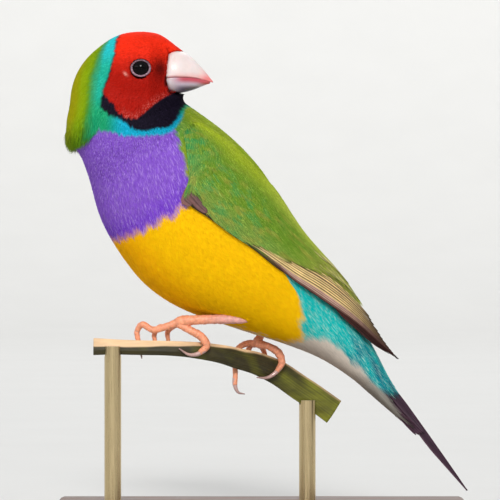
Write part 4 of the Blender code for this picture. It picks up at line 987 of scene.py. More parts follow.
def new_material(name):
    """Start a material and give back its nodes, links and shader."""
    material = bpy.data.materials.new(name)
    material.use_nodes = True
    tree = material.node_tree
    return material, tree, tree.nodes["Principled BSDF"]


def add_noise(tree, scale, detail=3.0, stretch=(1.0, 1.0, 1.0)):
    """Add a noise pattern on object coordinates, with its scale told in repeats a millimetre."""
    coordinates = tree.nodes.new("ShaderNodeTexCoord")
    mapping = tree.nodes.new("ShaderNodeMapping")
    mapping.inputs["Scale"].default_value = [scale / MM * part for part in stretch]
    noise = tree.nodes.new("ShaderNodeTexNoise")
    noise.inputs["Scale"].default_value = 1.0
    noise.inputs["Detail"].default_value = detail
    tree.links.new(coordinates.outputs["Object"], mapping.inputs["Vector"])
    tree.links.new(mapping.outputs["Vector"], noise.inputs["Vector"])
    return noise.outputs["Fac"]


def add_range(tree, value, low, high):
    """Add a map from the pattern's middle range to a range of values."""
    spread = tree.nodes.new("ShaderNodeMapRange")
    spread.inputs["From Min"].default_value = 0.3
    spread.inputs["From Max"].default_value = 0.7
    spread.inputs["To Min"].default_value = low
    spread.inputs["To Max"].default_value = high
    tree.links.new(value, spread.inputs["Value"])
    return spread.outputs["Result"]


def finish_surface(name, roughness, tone=(0.85, 1.15), tone_scale=0.6, bump=0.02, bump_scale=4.0,
                   stretch=(1.0, 1.0, 1.0), sheen=0.0, coat=0.0, specular=0.5, subsurface=0.0, colour=None):
    """Make a material from the painted layer, or one colour, with tone, roughness and relief from noise."""
    material, tree, shader = new_material(name)
    blend = tree.nodes.new("ShaderNodeMix")
    blend.data_type = "RGBA"
    blend.blend_type = "MULTIPLY"
    blend.inputs["Factor"].default_value = 1.0
    if colour is None:
        layer = tree.nodes.new("ShaderNodeAttribute")
        layer.attribute_name = COLOUR_LAYER
        tree.links.new(layer.outputs["Color"], blend.inputs["A"])
    else:
        blend.inputs["A"].default_value = (*colour, 1.0)
    pattern = add_noise(tree, tone_scale, stretch=stretch)
    tree.links.new(add_range(tree, pattern, *tone), blend.inputs["B"])
    tree.links.new(blend.outputs["Result"], shader.inputs["Base Color"])
    fine = add_noise(tree, bump_scale, stretch=stretch)
    tree.links.new(add_range(tree, fine, *roughness), shader.inputs["Roughness"])
    relief = tree.nodes.new("ShaderNodeBump")
    relief.inputs["Strength"].default_value = 1.0
    relief.inputs["Distance"].default_value = bump * MM
    tree.links.new(fine, relief.inputs["Height"])
    tree.links.new(relief.outputs["Normal"], shader.inputs["Normal"])
    shader.inputs["Specular IOR Level"].default_value = specular
    shader.inputs["Sheen Weight"].default_value = sheen
    shader.inputs["Coat Weight"].default_value = coat
    shader.inputs["Coat Roughness"].default_value = 0.04
    if subsurface:
        shader.inputs["Subsurface Weight"].default_value = subsurface
        shader.inputs["Subsurface Scale"].default_value = 0.6 * MM
    return material


@functools.lru_cache(maxsize=None)
def shared_material(kind):
    """Make each finish once: plumage, skin under it, vanes, bill, eye, lids, legs, claws, leaf."""
    if kind == "plumage":
        return finish_surface("feather_barbs", (0.5, 0.72), (0.97, 1.03), bump=0.01, bump_scale=5.0, specular=0.06)
    if kind == "skin":
        return finish_surface("down", (0.7, 0.9), bump=0.03, bump_scale=3.0, specular=0.05)
    if kind == "vane":
        return finish_surface("flight_feather", (0.4, 0.6), bump=0.02, bump_scale=5.0, specular=0.2)
    if kind == "bill":
        return finish_surface("horn", (0.32, 0.46), (0.94, 1.04), 0.5, 0.012, 3.0, coat=0.1, subsurface=0.15)
    if kind == "eye":
        return finish_surface("eyeball", (0.03, 0.06), (0.8, 1.2), 1.5, 0.0005, 3.0, specular=0.1)
    if kind == "lid":
        return finish_surface("eyelid", (0.45, 0.65), (0.8, 1.15), 1.8, 0.05, 3.5)
    if kind == "leg":
        return finish_surface("scaled_skin", (0.35, 0.55), (0.82, 1.12), 0.8, 0.05, 2.6, subsurface=0.1)
    if kind == "claw":
        return finish_surface("claw_horn", (0.25, 0.4), (0.85, 1.1), 1.2, 0.01, 4.0, coat=0.3)
    return finish_surface("dry_leaf", (0.45, 0.7), (0.7, 1.25), 0.5, 0.06, 1.6, stretch=(0.15, 1.0, 1.0))


def dress(item, kind):
    """Give an object one of the finishes."""
    item.data.materials.clear()
    item.data.materials.append(shared_material(kind))


# ---- pieces


def skin_depth(points, rows, sizes):
    """Tell how deep the skin lies: the coat's depth, more under a wing and round the eyes."""
    depth = sizes.body_depth + (sizes.head_depth - sizes.body_depth) * ramp(rows, 1.2, 1.6)
    depth = np.maximum(depth, 1.9 * under_wing(points))
    reach, _ = from_eye(points)
    distance, height, _ = along_body(points)
    depth = depth + 1.3 * ramp(distance, TAIL_START - 4.0, 89.0) * ramp(height, -1.5, 0.8) * (rows < 1.0)
    return depth + 1.3 * ramp(reach, 2.9, 2.2) * (rows > HEAD_ROW)


def make_skin():
    """Make the one skin: the flesh's surface moved inwards by the coat's depth, with the plumage's markings."""
    sizes = bpy.context.scene.finch_sizes
    tints = palette()
    points, outwards = skin_sheet()
    rows = np.broadcast_to(np.linspace(0.0, LAST_ROW, SKIN_ROWS)[:, None], points.shape[:2])
    rings = points - outwards * skin_depth(points, rows, sizes)[..., None]
    colour, _ = plumage(points, tints)
    # Painted shade: the skin under the coat carries the plumage's colours darkened to 0.8.
    item = make_lofts("skin", rings[:-1], colour[:-1] * 0.8,
                      ("head", "neck", "torso", "rump", "thigh_left", "thigh_right"))
    dress(item, "skin")
    return item


def make_thighs():
    """Make the skin of the upper legs as short tapered tubes that grow out of the belly."""
    tints = palette()
    rings = []
    for stations in THIGHS:
        path = smooth_path(stations, 24)
        path[:, 3] -= 0.5
        rings.append(tube_rings(path, 24)[0])
    rings = np.array(rings)
    colour, _ = plumage(rings, tints)
    # Painted shade: the upper legs carry the plumage's colours darkened to 0.8.
    item = make_lofts("thigh_skin", rings, colour * 0.8)
    dress(item, "skin")


def lie_of(points, outwards, rows):
    """Give the way the feathers lie: away from the bill on the head, down the breast, along the body behind it."""
    root = head_place(BILL_ROOT[0], BILL_ROOT[1], 0.0)
    head_way = unit(points - root) - 0.35 * UP
    distance, _, _ = along_body(points)
    body_way = ALONG - (0.45 - 0.33 * ramp(distance, 12.0, 42.0))[:, None] * DORSAL
    share = ramp(rows, 1.3, 1.8)[:, None]
    way = head_way * share + body_way * (1 - share)
    return unit(way - outwards * (way * outwards).sum(-1, keepdims=True))


def grow_tufts(rows, turns, length, width, draw, sizes):
    """Grow a tuft at each place of the skin: its root in the skin, bent along the flesh, its tip at the outline.

    Roots under a wing, in the bill, in the opening of the lids or over the tail are left out. Tips that would
    reach over an eye are moved aside, and those at the end of the cape hang down and stand out.
    """
    sheet, normals = skin_sheet()
    outer = read_sheet(sheet, rows, turns)
    outwards = unit(read_sheet(normals, rows, turns))
    reach, _ = from_eye(outer)
    distance, height, _ = along_body(outer)
    over_tail = (distance > TAIL_START + draw.uniform(-1.5, 1.5, len(rows))) & (height > -0.8) & (rows < 1.0)
    keep = (under_wing(outer) < 0.45) & ~in_bill(outer, 0.05) & (reach > EYE_OPENING) & ~over_tail
    rows, turns, outer, outwards = rows[keep], turns[keep], outer[keep], outwards[keep]
    length, width = length[keep], width[keep]
    count = len(rows)
    depth = skin_depth(outer, rows, sizes)
    above = outer[:, 2] - cape_edge(outer)
    hang = ramp(above, 7.0, 3.0) * (above > 0.3) * ramp(outer[:, 0], -37.0, -41.0) * (rows > 1.0)
    hang = hang * draw.uniform(0.2, 1.0, count)
    length = length * (1.0 + 0.8 * hang)
    width = width * (1.0 - 0.25 * hang)
    way = lie_of(outer, outwards, rows)
    side = np.cross(outwards, way)
    way = unit(way + side * draw.normal(0.0, 0.06, count)[:, None])
    side = unit(np.cross(outwards, way))
    root = outer - outwards * (depth + 0.12)[:, None]
    middle, lifted = settled(outer + way * (length * 0.5)[:, None], -0.3 * depth)
    rise = draw.uniform(-0.16, 0.06, count) * np.where(rows > HEAD_ROW, 0.5, 1.0)
    tip, _ = settled(outer + way * length[:, None], rise)
    under_tail = ((distance[keep] > 80.5) & (height[keep] < -0.6))[:, None]
    middle = np.where(under_tail, outer + way * (length * 0.5)[:, None], middle)
    tip = np.where(under_tail, outer + way * length[:, None], tip)
    drop = outwards * 0.12 - UP + 0.05 * draw.normal(0.0, 1.0, (count, 3))
    loose = (hang > 0.05)[:, None] * np.clip(1.5 * hang, 0.0, 1.0)[:, None]
    fall = np.minimum(length, np.maximum(above + draw.uniform(-0.6, 1.8, count), 0.5))[:, None]
    middle = middle + (outer + drop * (fall * 0.5) - middle) * loose
    tip = tip + (outer + drop * fall - tip) * loose
    reach, away = from_eye(tip)
    tip = tip + away * (np.clip(EYE_OPENING - reach, 0.0, 2.0) * (rows > HEAD_ROW))[:, None]
    points = tuft_points(root, middle, tip, lifted, side, width, 0.25 * width + 0.02)
    chart = np.stack([turns, rows / LAST_ROW], -1)
    free = np.clip(2.0 * hang, 0.0, 1.0)
    seen = [outer, mix(middle * 0.85 + tip * 0.15, outer, free), mix(tip, outer, free)]
    return points, lifted, seen, rows, chart


def feather_sizes(rows, outer, sizes, draw):
    """Tell the length and width of a feather by its place: small on the face, longer on the body."""
    share = ramp(rows, 1.02, 1.28)
    length = sizes.body_length + (sizes.head_length - sizes.body_length) * share
    width = 0.31 + (0.235 - 0.31) * share
    local = on_head(outer)
    face = ramp(local[:, 0], 0.0, 7.0) * (rows > HEAD_ROW)
    nape = ramp(local[:, 0], -3.0, -7.0) * (rows > HEAD_ROW)
    length = length * (1.0 - 0.25 * face + 0.9 * nape)
    width = width * (1.0 - 0.15 * face)
    distance, height, _ = along_body(outer)
    length = length * (1.0 + 0.3 * ramp(distance, 62.0, 80.0)) * (1.0 - 0.3 * ramp(distance, 8.0, 2.0) * (1 - share))
    length = length * draw.uniform(0.75, 1.3, len(rows))
    under_tail = ramp(distance, 80.0, 85.0) * ramp(height, 0.0, -1.2) * (rows < 1.0)
    length = np.minimum(length * (1.0 + 1.3 * under_tail), np.maximum(UNDERTAIL_END - distance, 1.0))
    return length, width * draw.uniform(0.8, 1.25, len(rows))


def make_coat():
    """Make the coat: tufts over the whole skin, divided into pieces by the part of the body."""
    sizes = bpy.context.scene.finch_sizes
    tints = palette()
    draw = np.random.default_rng(sizes.seed)
    sheet, _ = skin_sheet()
    across = np.linalg.norm(np.roll(sheet, -1, 1) - sheet, axis=-1)[:-1]
    along = np.linalg.norm(np.diff(sheet, axis=0), axis=-1)
    area = across * along
    grid_rows = np.linspace(0.0, LAST_ROW, SKIN_ROWS)[:-1, None]
    for share, count in ((ramp(grid_rows, 1.1, 1.2), sizes.head_tufts),
                         (ramp(grid_rows, 1.2, 1.1) * (1.0 + 0.35 * ramp(grid_rows, 0.9, 1.1)), sizes.body_tufts)):
        hidden = under_wing(sheet[:-1]) > 0.6
        row, turn, spot = scatter(area * share * ~hidden, count, draw)
        rows = (row + spot[:, 0]) * LAST_ROW / (SKIN_ROWS - 1)
        turns = (turn + spot[:, 1]) / SKIN_AROUND
        outer = read_sheet(sheet, rows, turns)
        length, width = feather_sizes(rows, outer, sizes, draw)
        points, outwards, seen, rows, chart = grow_tufts(rows, turns, length, width, draw, sizes)
        contrast = sizes.contrast * (1.8 if count == sizes.head_tufts else 1.0)
        colour = shade_tufts(plumage, seen, tints, draw, contrast)
        local = on_head(seen[1])
        distance, _, north = along_body(seen[1])
        if count == sizes.head_tufts:
            face = local[:, 0] > -1.0
            crown = local[:, 1] > 3.5
            on_top = rows > HEAD_ROW
            groups = {"coat_crown": ("plumage_head", face & on_top & crown),
                      "coat_cheeks": ("plumage_head", face & on_top & ~crown),
                      "coat_nape": ("plumage_neck", ~face & on_top),
                      "coat_neck": ("plumage_neck", rows <= HEAD_ROW)}
        else:
            middle = (distance >= 24.0) & (distance < 62.0)
            groups = {"coat_breast": ("plumage_body", distance < 24.0),
                      "coat_belly_left": ("plumage_body", middle & (north < 0.0)),
                      "coat_belly_right": ("plumage_body", middle & (north >= 0.0)),
                      "coat_rump": ("plumage_rump", distance >= 62.0)}
        for name, (slot, chosen) in groups.items():
            piece = make_tufts(name, points[chosen], outwards[chosen], colour[chosen], chart[chosen])
            dress(piece, "plumage")


def mirror(points, side):
    """Keep points for the left side, or move them to the right one."""
    return points * np.array([1.0, -side, 1.0]) if side > 0 else points


VANE_ACROSS = np.array([-1.0, -0.8, -0.5, -0.2, -0.07, 0.0, 0.07, 0.2, 0.35, 0.5, 0.62, 0.74, 0.88, 1.0])
VANE_STEPS = 22


def vane_outline(share, blunt):
    """Tell a feather's half width along it: it grows from the quill, stays wide and rounds off at the tip."""
    return (0.35 + 0.65 * ramp(share, 0.0, 0.25)) * (1.0 - np.clip(share, 0.0, 1.0) ** blunt) ** 0.5 + 0.02


def make_wing(side):
    """Make one wing: a core sheet, long overlapping vanes in tiers, and the small feathers over them.

    Each vane is a thin closed plate laid on the wing's face. Its half width follows the outline of a
    feather, its middle carries a raised shaft, and it rises from its root to its tip.
    """
    sizes = bpy.context.scene.finch_sizes
    tints = palette()
    name = "right" if side > 0 else "left"
    draw = np.random.default_rng(sizes.seed + 100)
    distance = np.linspace(WING_START, WING_CORE_END, 70)
    across = np.linspace(0.0, 1.0, 26)
    grid_distance, grid_across = np.meshgrid(distance, across, indexing="ij")
    grid_across = grid_across * (1.0 - 0.3 * ramp(grid_distance, 46.0, WING_CORE_END))
    upper = wing_face(grid_distance, grid_across, np.full(grid_distance.shape, -0.12))
    middle = np.clip(4.0 * grid_across * (1.0 - grid_across), 0.0, 1.0) ** 0.5
    lower = wing_face(grid_distance, grid_across, -(0.5 + 0.8 * middle))
    rings = np.concatenate([upper, lower[:, ::-1]], 1)
    colour, _ = wing_colours(grid_distance, grid_across, upper, tints)
    # Painted shade: the core's upper face carries the wing's colours darkened to 0.7 under the feathers, with maroon
    # along its lower edge and rear; its lower face is all dark maroon.
    line = np.maximum(ramp(grid_across, 0.965, 0.985), ramp(grid_distance, 44.0, 50.0))
    colour = mix(colour * 0.7, tints["wing_line"], line)
    shades = np.concatenate([colour, np.broadcast_to(tints["wing_line"], lower.shape)], 1)
    core = make_lofts(f"wing_core_{name}", mirror(rings, side), shades, (f"wing_{name}",))
    dress(core, "vane")
    all_rings = []
    all_shades = []
    for tier in WING_TIERS:
        count, first_root, last_root, first_tip, last_tip, half_width, first_rise, last_rise, web, edge = tier
        for step in range(count):
            share = step / (count - 1)
            root = np.array(first_root) * (1 - share) + np.array(last_root) * share
            tip = np.array(first_tip) * (1 - share) + np.array(last_tip) * share
            rise = first_rise + (last_rise - first_rise) * share
            rim = tints["wing_line"] if web == "wing_dark" and step == count - 1 else tints[edge]
            dusk = tints["wing_line"] if web in ("primary", "wing_dark") else tints[web] * 0.6
            vane_rings, vane_shades = wing_vane(root, tip, half_width, rise, tints[web], rim, dusk, draw)
            all_rings.append(vane_rings)
            all_shades.append(vane_shades)
    vanes = make_lofts(f"wing_vanes_{name}", mirror(np.array(all_rings), side), np.array(all_shades))
    dress(vanes, "vane")
    make_wing_coat(side, name, sizes, tints, draw)


def wing_vane(root, tip, half_width, rise, web, edge, dusk, draw):
    """Give the rings and colours of one vane between its root and tip on the wing's face."""
    share = np.linspace(0.0, 1.0, VANE_STEPS)
    wander = draw.uniform(-0.3, 0.3)
    distance = root[0] + (tip[0] + wander - root[0]) * share
    across = root[1] + (tip[1] - root[1]) * share + draw.uniform(-0.008, 0.008)
    blunt = 2.4 if tip[0] > 70.0 else 5.0
    reach = half_width * draw.uniform(0.85, 1.15) * vane_outline(share, blunt) / wing_width(distance)
    places = np.clip(across[:, None] + VANE_ACROSS * reach[:, None], 0.0, 1.35)
    distances = np.broadcast_to(distance[:, None], places.shape)
    shaft = np.clip(1.0 - np.abs(VANE_ACROSS) / 0.07, 0.0, 1.0)
    crown = 0.04 * (1.0 - VANE_ACROSS ** 2) + 0.05 * shaft + 0.12 * VANE_ACROSS
    lift = -0.15 + (rise + 0.15) * share[:, None] + crown
    thickness = 0.07 + 0.05 * (1.0 - np.abs(VANE_ACROSS))
    upper = wing_face(distances, places, lift)
    lower = wing_face(distances, places, lift - thickness)
    pale = ramp(VANE_ACROSS, 0.42, 0.66)
    shadow = ramp(np.abs(VANE_ACROSS - 0.05), 0.3, 0.1)
    colour = mix(np.broadcast_to(web, upper.shape), edge, np.broadcast_to(pale, places.shape))
    colour = mix(colour, web * 0.35, np.broadcast_to(shadow, places.shape) * 0.7)
    # Painted shade: the part of the vane that lies under the next feather is darkened.
    colour = mix(colour, web * 0.5, np.broadcast_to(ramp(VANE_ACROSS, -0.1, -0.5), places.shape) * 0.8)
    streak = 1.0 + 0.12 * ripples(np.stack([distances * 0.15, places * 60.0, 0.0 * places], -1), 1.5, 35)[..., None]
    late = np.maximum(ramp(distances, 63.0, 77.0), ramp(share, 0.85, 1.0)[:, None])
    colour = mix(colour * (1.0 + 0.12 * draw.normal()) * streak, dusk, late * 0.9)
    rings = np.concatenate([upper, lower[:, ::-1]], 1)
    # Painted shade: the lower face carries the upper colours darkened to 0.7.
    return rings, np.concatenate([colour, colour[:, ::-1] * 0.7], 1)


def make_wing_coat(side, name, sizes, tints, draw):
    """Make the small feathers of a wing, which hang down and back over it."""
    steps = 120
    places = 60
    distance = WING_START + (66.0 - WING_START) * (np.arange(steps) + 0.5) / steps
    across = (np.arange(places) + 0.5) / places
    limit = np.interp(distance, GREEN_EDGE[:, 0], GREEN_EDGE[:, 1])
    weights = wing_width(distance)[:, None] * (across[None] < limit[:, None] - GREEN_MARGIN)
    weights = weights * (1.0 - 0.93 * ramp(distance, 44.0, 56.0))[:, None]
    row, column, spot = scatter(weights, sizes.wing_tufts, draw)
    start = WING_START + (66.0 - WING_START) * (row + spot[:, 0]) / steps
    place = (column + spot[:, 1]) / places
    count = len(start)
    length = draw.uniform(2.0, 3.8, count)
    slant = np.radians(18.0 - 15.0 * ramp(start, 28.0, 45.0) + draw.normal(0.0, 4.0, count))
    run = length * np.cos(slant)
    drop = length * np.sin(slant) / wing_width(start)
    base = 0.08 + 0.14 * ramp(start, 20.0, 40.0)
    tip_lift = base + draw.uniform(0.12, 0.26, count)
    width = draw.uniform(0.2, 0.34, count)
    root = wing_face(start, place, base - 0.3)
    middle = wing_face(start + run / 2, np.clip(place + drop / 2, 0.0, 1.0), base + 0.16)
    tip = wing_face(start + run, np.clip(place + drop, 0.0, 1.0), tip_lift)
    outwards = unit(wing_face(start, place, np.ones(count)) - wing_face(start, place, np.zeros(count)))
    wide = unit(np.cross(outwards, tip - root))
    points = tuft_points(root, middle, tip, outwards, wide, width, 0.25 * width + 0.02)
    colour, fleck_and_glint = wing_colours(start, place, middle, tints)
    share = draw.uniform(0.0, 1.0, count) ** 4 * 0.8
    shade = np.exp(draw.normal(0.0, 0.16, count))
    colour = np.repeat((mix(colour, fleck_and_glint, share) * shade[:, None])[:, None], 5, 1)
    chart = np.stack([0.05 + 0.9 * place, 0.05 + 0.9 * (start - WING_START) / 60.0], -1)
    piece = make_tufts(f"coat_wing_{name}", mirror(points, side), mirror(outwards, side), colour, chart)
    dress(piece, "plumage")


def make_tail():
    """Make the tail: pairs of narrow vanes that lie over one another, the middle pair with thread-like tips."""
    tints = palette()
    steps = 30
    share = np.linspace(0.0, 1.0, steps)
    rings = []
    shades = []
    for pair, (end, across_end, height_end, half_width) in enumerate(TAIL_FEATHERS):
        for side in (-1.0, 1.0):
            middle = pair == 0
            last = TAIL_END if middle else end
            distance = TAIL_ROOT + (last - TAIL_ROOT) * share
            reach = (distance - TAIL_ROOT) / (last - TAIL_ROOT)
            across = 0.35 + (across_end - 0.35) * reach
            start = 2.2 - 0.3 * pair
            height = start + (height_end - start) * ramp(reach, -0.35, 1.0)
            width = half_width * vane_outline(reach, 3.0)
            if middle:
                width = np.interp(distance, TAIL_RIDGE[:, 0], TAIL_RIDGE[:, 2])
                across = width - 0.1
                height = np.interp(distance, TAIL_RIDGE[:, 0], TAIL_RIDGE[:, 1]) - TAIL_SLOPES[0] * across
            offset = VANE_ACROSS * width[:, None]
            places = side * (across[:, None] + offset)
            shaft = np.clip(1.0 - np.abs(VANE_ACROSS) / 0.07, 0.0, 1.0)
            slope = TAIL_SLOPES[0] if middle else TAIL_SLOPES[1]
            heights = height[:, None] - slope * offset + 0.08 * shaft + 0.06 * (1 - VANE_ACROSS ** 2)
            thickness = 0.10 + 0.12 * (1.0 - np.abs(VANE_ACROSS))
            distances = np.broadcast_to(distance[:, None], places.shape)
            upper = axis_place(distances, heights, places)
            lower = axis_place(distances, heights - thickness, places)
            edge = np.broadcast_to(ramp(np.abs(VANE_ACROSS), 0.7, 1.0), places.shape)
            colour = mix(np.broadcast_to(tints["tail"], upper.shape), tints["tail_edge"], edge * 0.7)
            colour = mix(colour, tints["tail"] * 0.5, np.broadcast_to(shaft, places.shape) * 0.7)
            rings.append(np.concatenate([upper, lower[:, ::-1]], 1))
            # Painted shade: the lower face carries the upper colours darkened to 0.8.
            shades.append(np.concatenate([colour, colour[:, ::-1] * 0.8], 1))
    dress(make_lofts("tail_vanes", np.array(rings), np.array(shades), ("tail",)), "vane")


def bill_rings(upper, stations, around):
    """Give rings round one half of the bill: an arch over the mouth line, closed by a flat along it."""
    last = BILL_SECTIONS[-1, 0] if upper else LOWER_BILL_END
    share = np.linspace(0.0, 1.0, stations) ** 0.9
    forwards = BILL_SECTIONS[0, 0] + (last - BILL_SECTIONS[0, 0]) * share
    culmen, mouth, keel, width = (smooth_value(BILL_SECTIONS, column, forwards)[:, None] for column in (1, 2, 3, 4))
    angle = np.linspace(0.0, math.pi, around)
    wide = np.sign(np.cos(angle)) * np.abs(np.cos(angle)) ** 0.9
    rise = np.sin(angle) ** 0.95
    inner = np.linspace(-0.96, 0.96, around)[1:-1]
    if upper:
        over = mouth + 0.01 + (culmen - mouth - 0.01) * rise
        across = np.concatenate([width * wide, width * inner], 1)
        heights = np.concatenate([over, np.broadcast_to(mouth + 0.02, (stations, around - 2))], 1)
    else:
        over = mouth - 0.03 - (mouth - 0.03 - keel) * rise
        across = np.concatenate([width * wide, width * inner], 1) * 0.965
        heights = np.concatenate([over, np.broadcast_to(mouth - 0.04, (stations, around - 2))], 1)
    forwards = np.broadcast_to(forwards[:, None], across.shape)
    return forwards, heights, across


def make_bill():
    """Make both halves of the bill, with nostrils and the red that runs back from the tip along the mouth."""
    tints = palette()
    for upper, name in ((True, "bill_upper"), (False, "bill_lower")):
        forwards, heights, across = bill_rings(upper, 90, 41)
        if upper:
            for side in (-1.0, 1.0):
                spot = np.array([NOSTRIL_PLACE[0], NOSTRIL_PLACE[1], side * NOSTRIL_PLACE[2]])
                reach = np.sqrt((forwards - spot[0]) ** 2 + (heights - spot[1]) ** 2 + (across - spot[2]) ** 2)
                across = across - side * 0.35 * np.exp(-(reach / 0.4) ** 2)
        above = heights - smooth_value(BILL_SECTIONS, 2, forwards)
        tip = ramp(forwards, 17.5, 21.0)
        colour = np.broadcast_to(tints["bill"], forwards.shape + (3,))
        if upper:
            blush = ramp(above, 1.6, 0.0) * ramp(forwards, 10.5, 15.5)
            colour = mix(colour, tints["bill_red"], np.clip(0.4 * blush + 0.75 * tip, 0.0, 0.85))
            # Painted shadow: a thin dark pink line along the upper bill's mouth edge.
            edge = ramp(above, 0.22, 0.05)
            colour = mix(colour, tints["bill_line"], 0.7 * edge)
        else:
            colour = mix(colour, tints["bill_shade"], 0.25 + 0.5 * ramp(forwards, 11.0, 14.0))
            blush = ramp(above, -1.7, -0.5) * ramp(forwards, 11.5, 15.0)
            colour = mix(colour, tints["bill_line"], 0.95 * blush)
            dark = ramp(above, -1.5, -2.9 + 0.12 * (forwards - 13.0)) * ramp(forwards, 12.0, 14.5)
            colour = mix(colour, tints["bill_dark"], 0.85 * dark * ramp(forwards, 20.8, 17.5))
            colour = mix(colour, tints["bill_red"], 0.5 * tip)
        piece = make_lofts(name + "_horn", head_place(forwards, heights, across), colour, (name,))
        dress(piece, "bill")


def make_eyes():
    """Make each eyeball as a globe, and round it a beaded ring of bare skin, a closed tube round the lids."""
    tints = palette()
    polar = np.linspace(0.0, math.pi, 50)[1:-1]
    around = np.arange(48) / 48 * 2 * math.pi
    for side, name in ((1.0, "left"), (-1.0, "right")):
        place, look = eye_frame(side)
        first = unit(np.cross(look, UP))
        second = np.cross(look, first)
        centre = place - look * EYE_DEPTH
        circle = np.cos(around)[:, None] * first + np.sin(around)[:, None] * second
        globe = centre + EYE_RADIUS * (np.cos(polar)[:, None, None] * look + np.sin(polar)[:, None, None] * circle)
        reach = (EYE_RADIUS * np.sin(polar))[:, None] * np.ones(48)
        ring = ramp(reach, 1.0, 1.3) * ramp(reach, 1.9, 1.5)
        colour = mix(np.broadcast_to(tints["eye"], globe.shape), tints["iris"], ring)
        dress(make_lofts(f"eyeball_{name}", globe, colour, (f"eye_{name}",)), "eye")
        make_lids(name, place, look, first, second, tints)


def make_lids(name, place, look, first, second, tints):
    """Carry a small circle round a ring wider than high; its grains come from waves along its surface."""
    around = np.arange(120) / 120 * 2 * math.pi
    section = np.arange(16) / 16 * 2 * math.pi
    bead = 1.0 + 0.10 * np.sin(around * 23) + 0.07 * np.sin(around * 37 + 1.0)
    outer = LID_RADIUS + LID_THICKNESS * bead[:, None] * np.cos(section)
    high = 0.36 * bead[:, None] * np.sin(section) - 0.12
    way = np.cos(around)[:, None] * first + LID_HEIGHT * np.sin(around)[:, None] * second
    points = place + outer[..., None] * way[:, None] + high[..., None] * look
    grain = ripples(points, 0.5, 91)
    points = points + (0.05 * grain)[..., None] * look
    low = ramp(points[..., 2], place[2] + 1.5, place[2] - 1.2)
    colour = mix(tints["lid_shade"], tints["lid"], np.clip(0.25 + 0.5 * low + 0.3 * grain, 0.0, 1.0))
    colour = mix(colour, tints["eye"], ramp(np.cos(section), -0.35, -0.85)[None] * np.ones((120, 1)))
    colour = mix(colour, tints["lid_shade"] * 0.6, ramp(np.cos(section), 0.6, 1.0)[None] * np.ones((120, 1)))
    ring, step = np.meshgrid(np.arange(120), np.arange(16), indexing="ij")
    next_ring = (ring + 1) % 120
    next_step = (step + 1) % 16
    quads = np.stack([ring * 16 + step, ring * 16 + next_step, next_ring * 16 + next_step,
                      next_ring * 16 + step], -1).reshape(-1, 4)
    corner = [(step, ring), (step + 1, ring), (step + 1, ring + 1), (step, ring + 1)]
    places = np.stack([np.stack([a / 16, b / 120], -1) for a, b in corner], -2).reshape(-1, 2)
    dress(make_piece(f"lids_{name}", points, [quads], colour, places), "lid")


def scaled_tube(stations, count, around, step_length, tone, relief, seed):
    """Carry a circle along a leg or toe; it swells a little for each scute along the way, and unevenly."""
    path = smooth_path(stations, count)
    travel = np.concatenate([[0.0], np.cumsum(np.linalg.norm(np.diff(path[:, :3], axis=0), axis=1))])
    uneven = travel / step_length + 0.4 * np.sin(travel * 1.7 + seed) + 0.25 * np.sin(travel * 4.3 + 2.0 * seed)
    swell = np.abs(np.sin(uneven * math.pi)) ** 0.7
    path[:, 3] = path[:, 3] * (1.0 - relief + relief * swell)
    rings, circle = tube_rings(path, around)
    rings = rings + circle * (0.05 * ripples(rings, 1.1, seed))[..., None] * np.minimum(path[:, 3], 1.0)[:, None, None]
    shade = (0.88 + 0.12 * swell)[:, None] + 0.08 * ripples(rings, 0.9, seed + 1)
    return rings, tone * shade[..., None]


def make_legs():
    """Make shanks, toes and claws of both feet as tubes, the toes with scutes."""
    tints = palette()
    for name in ("left", "right"):
        shank, shade = scaled_tube(SHANKS[name], 110, 20, 1.6, tints["leg"], 0.03, 71)
        fade = ramp(np.arange(110) / 110, 0.75, 0.1)[:, None] * np.ones(20)
        shade = mix(shade, tints["leg_shade"], fade * 0.7)
        dress(make_lofts(f"shank_skin_{name}", shank, shade, (f"shank_{name}",)), "leg")
        toes = [scaled_tube(stations[:-2], 80, 16, 0.8, tints["leg"], 0.045, 80 + place)
                for place, stations in enumerate(TOES[name])]
        rings = np.array([rings for rings, _ in toes])
        shades = np.array([shades for _, shades in toes])
        dress(make_lofts(f"toes_{name}", rings, shades, (f"foot_{name}",)), "leg")
        claws = []
        for stations in TOES[name]:
            path = smooth_path(stations, 60)[-26:]
            path[:, 3] = np.maximum(path[:, 3] * 0.92, 0.03)
            claws.append(tube_rings(path, 12)[0])
        tone = tints["claw"] * (1.0 - 0.45 * np.linspace(0.0, 1.0, 26) ** 2)[:, None, None]
        dress(make_lofts(f"claws_{name}", np.array(claws), np.broadcast_to(tone, (4, 26, 12, 3))), "claw")


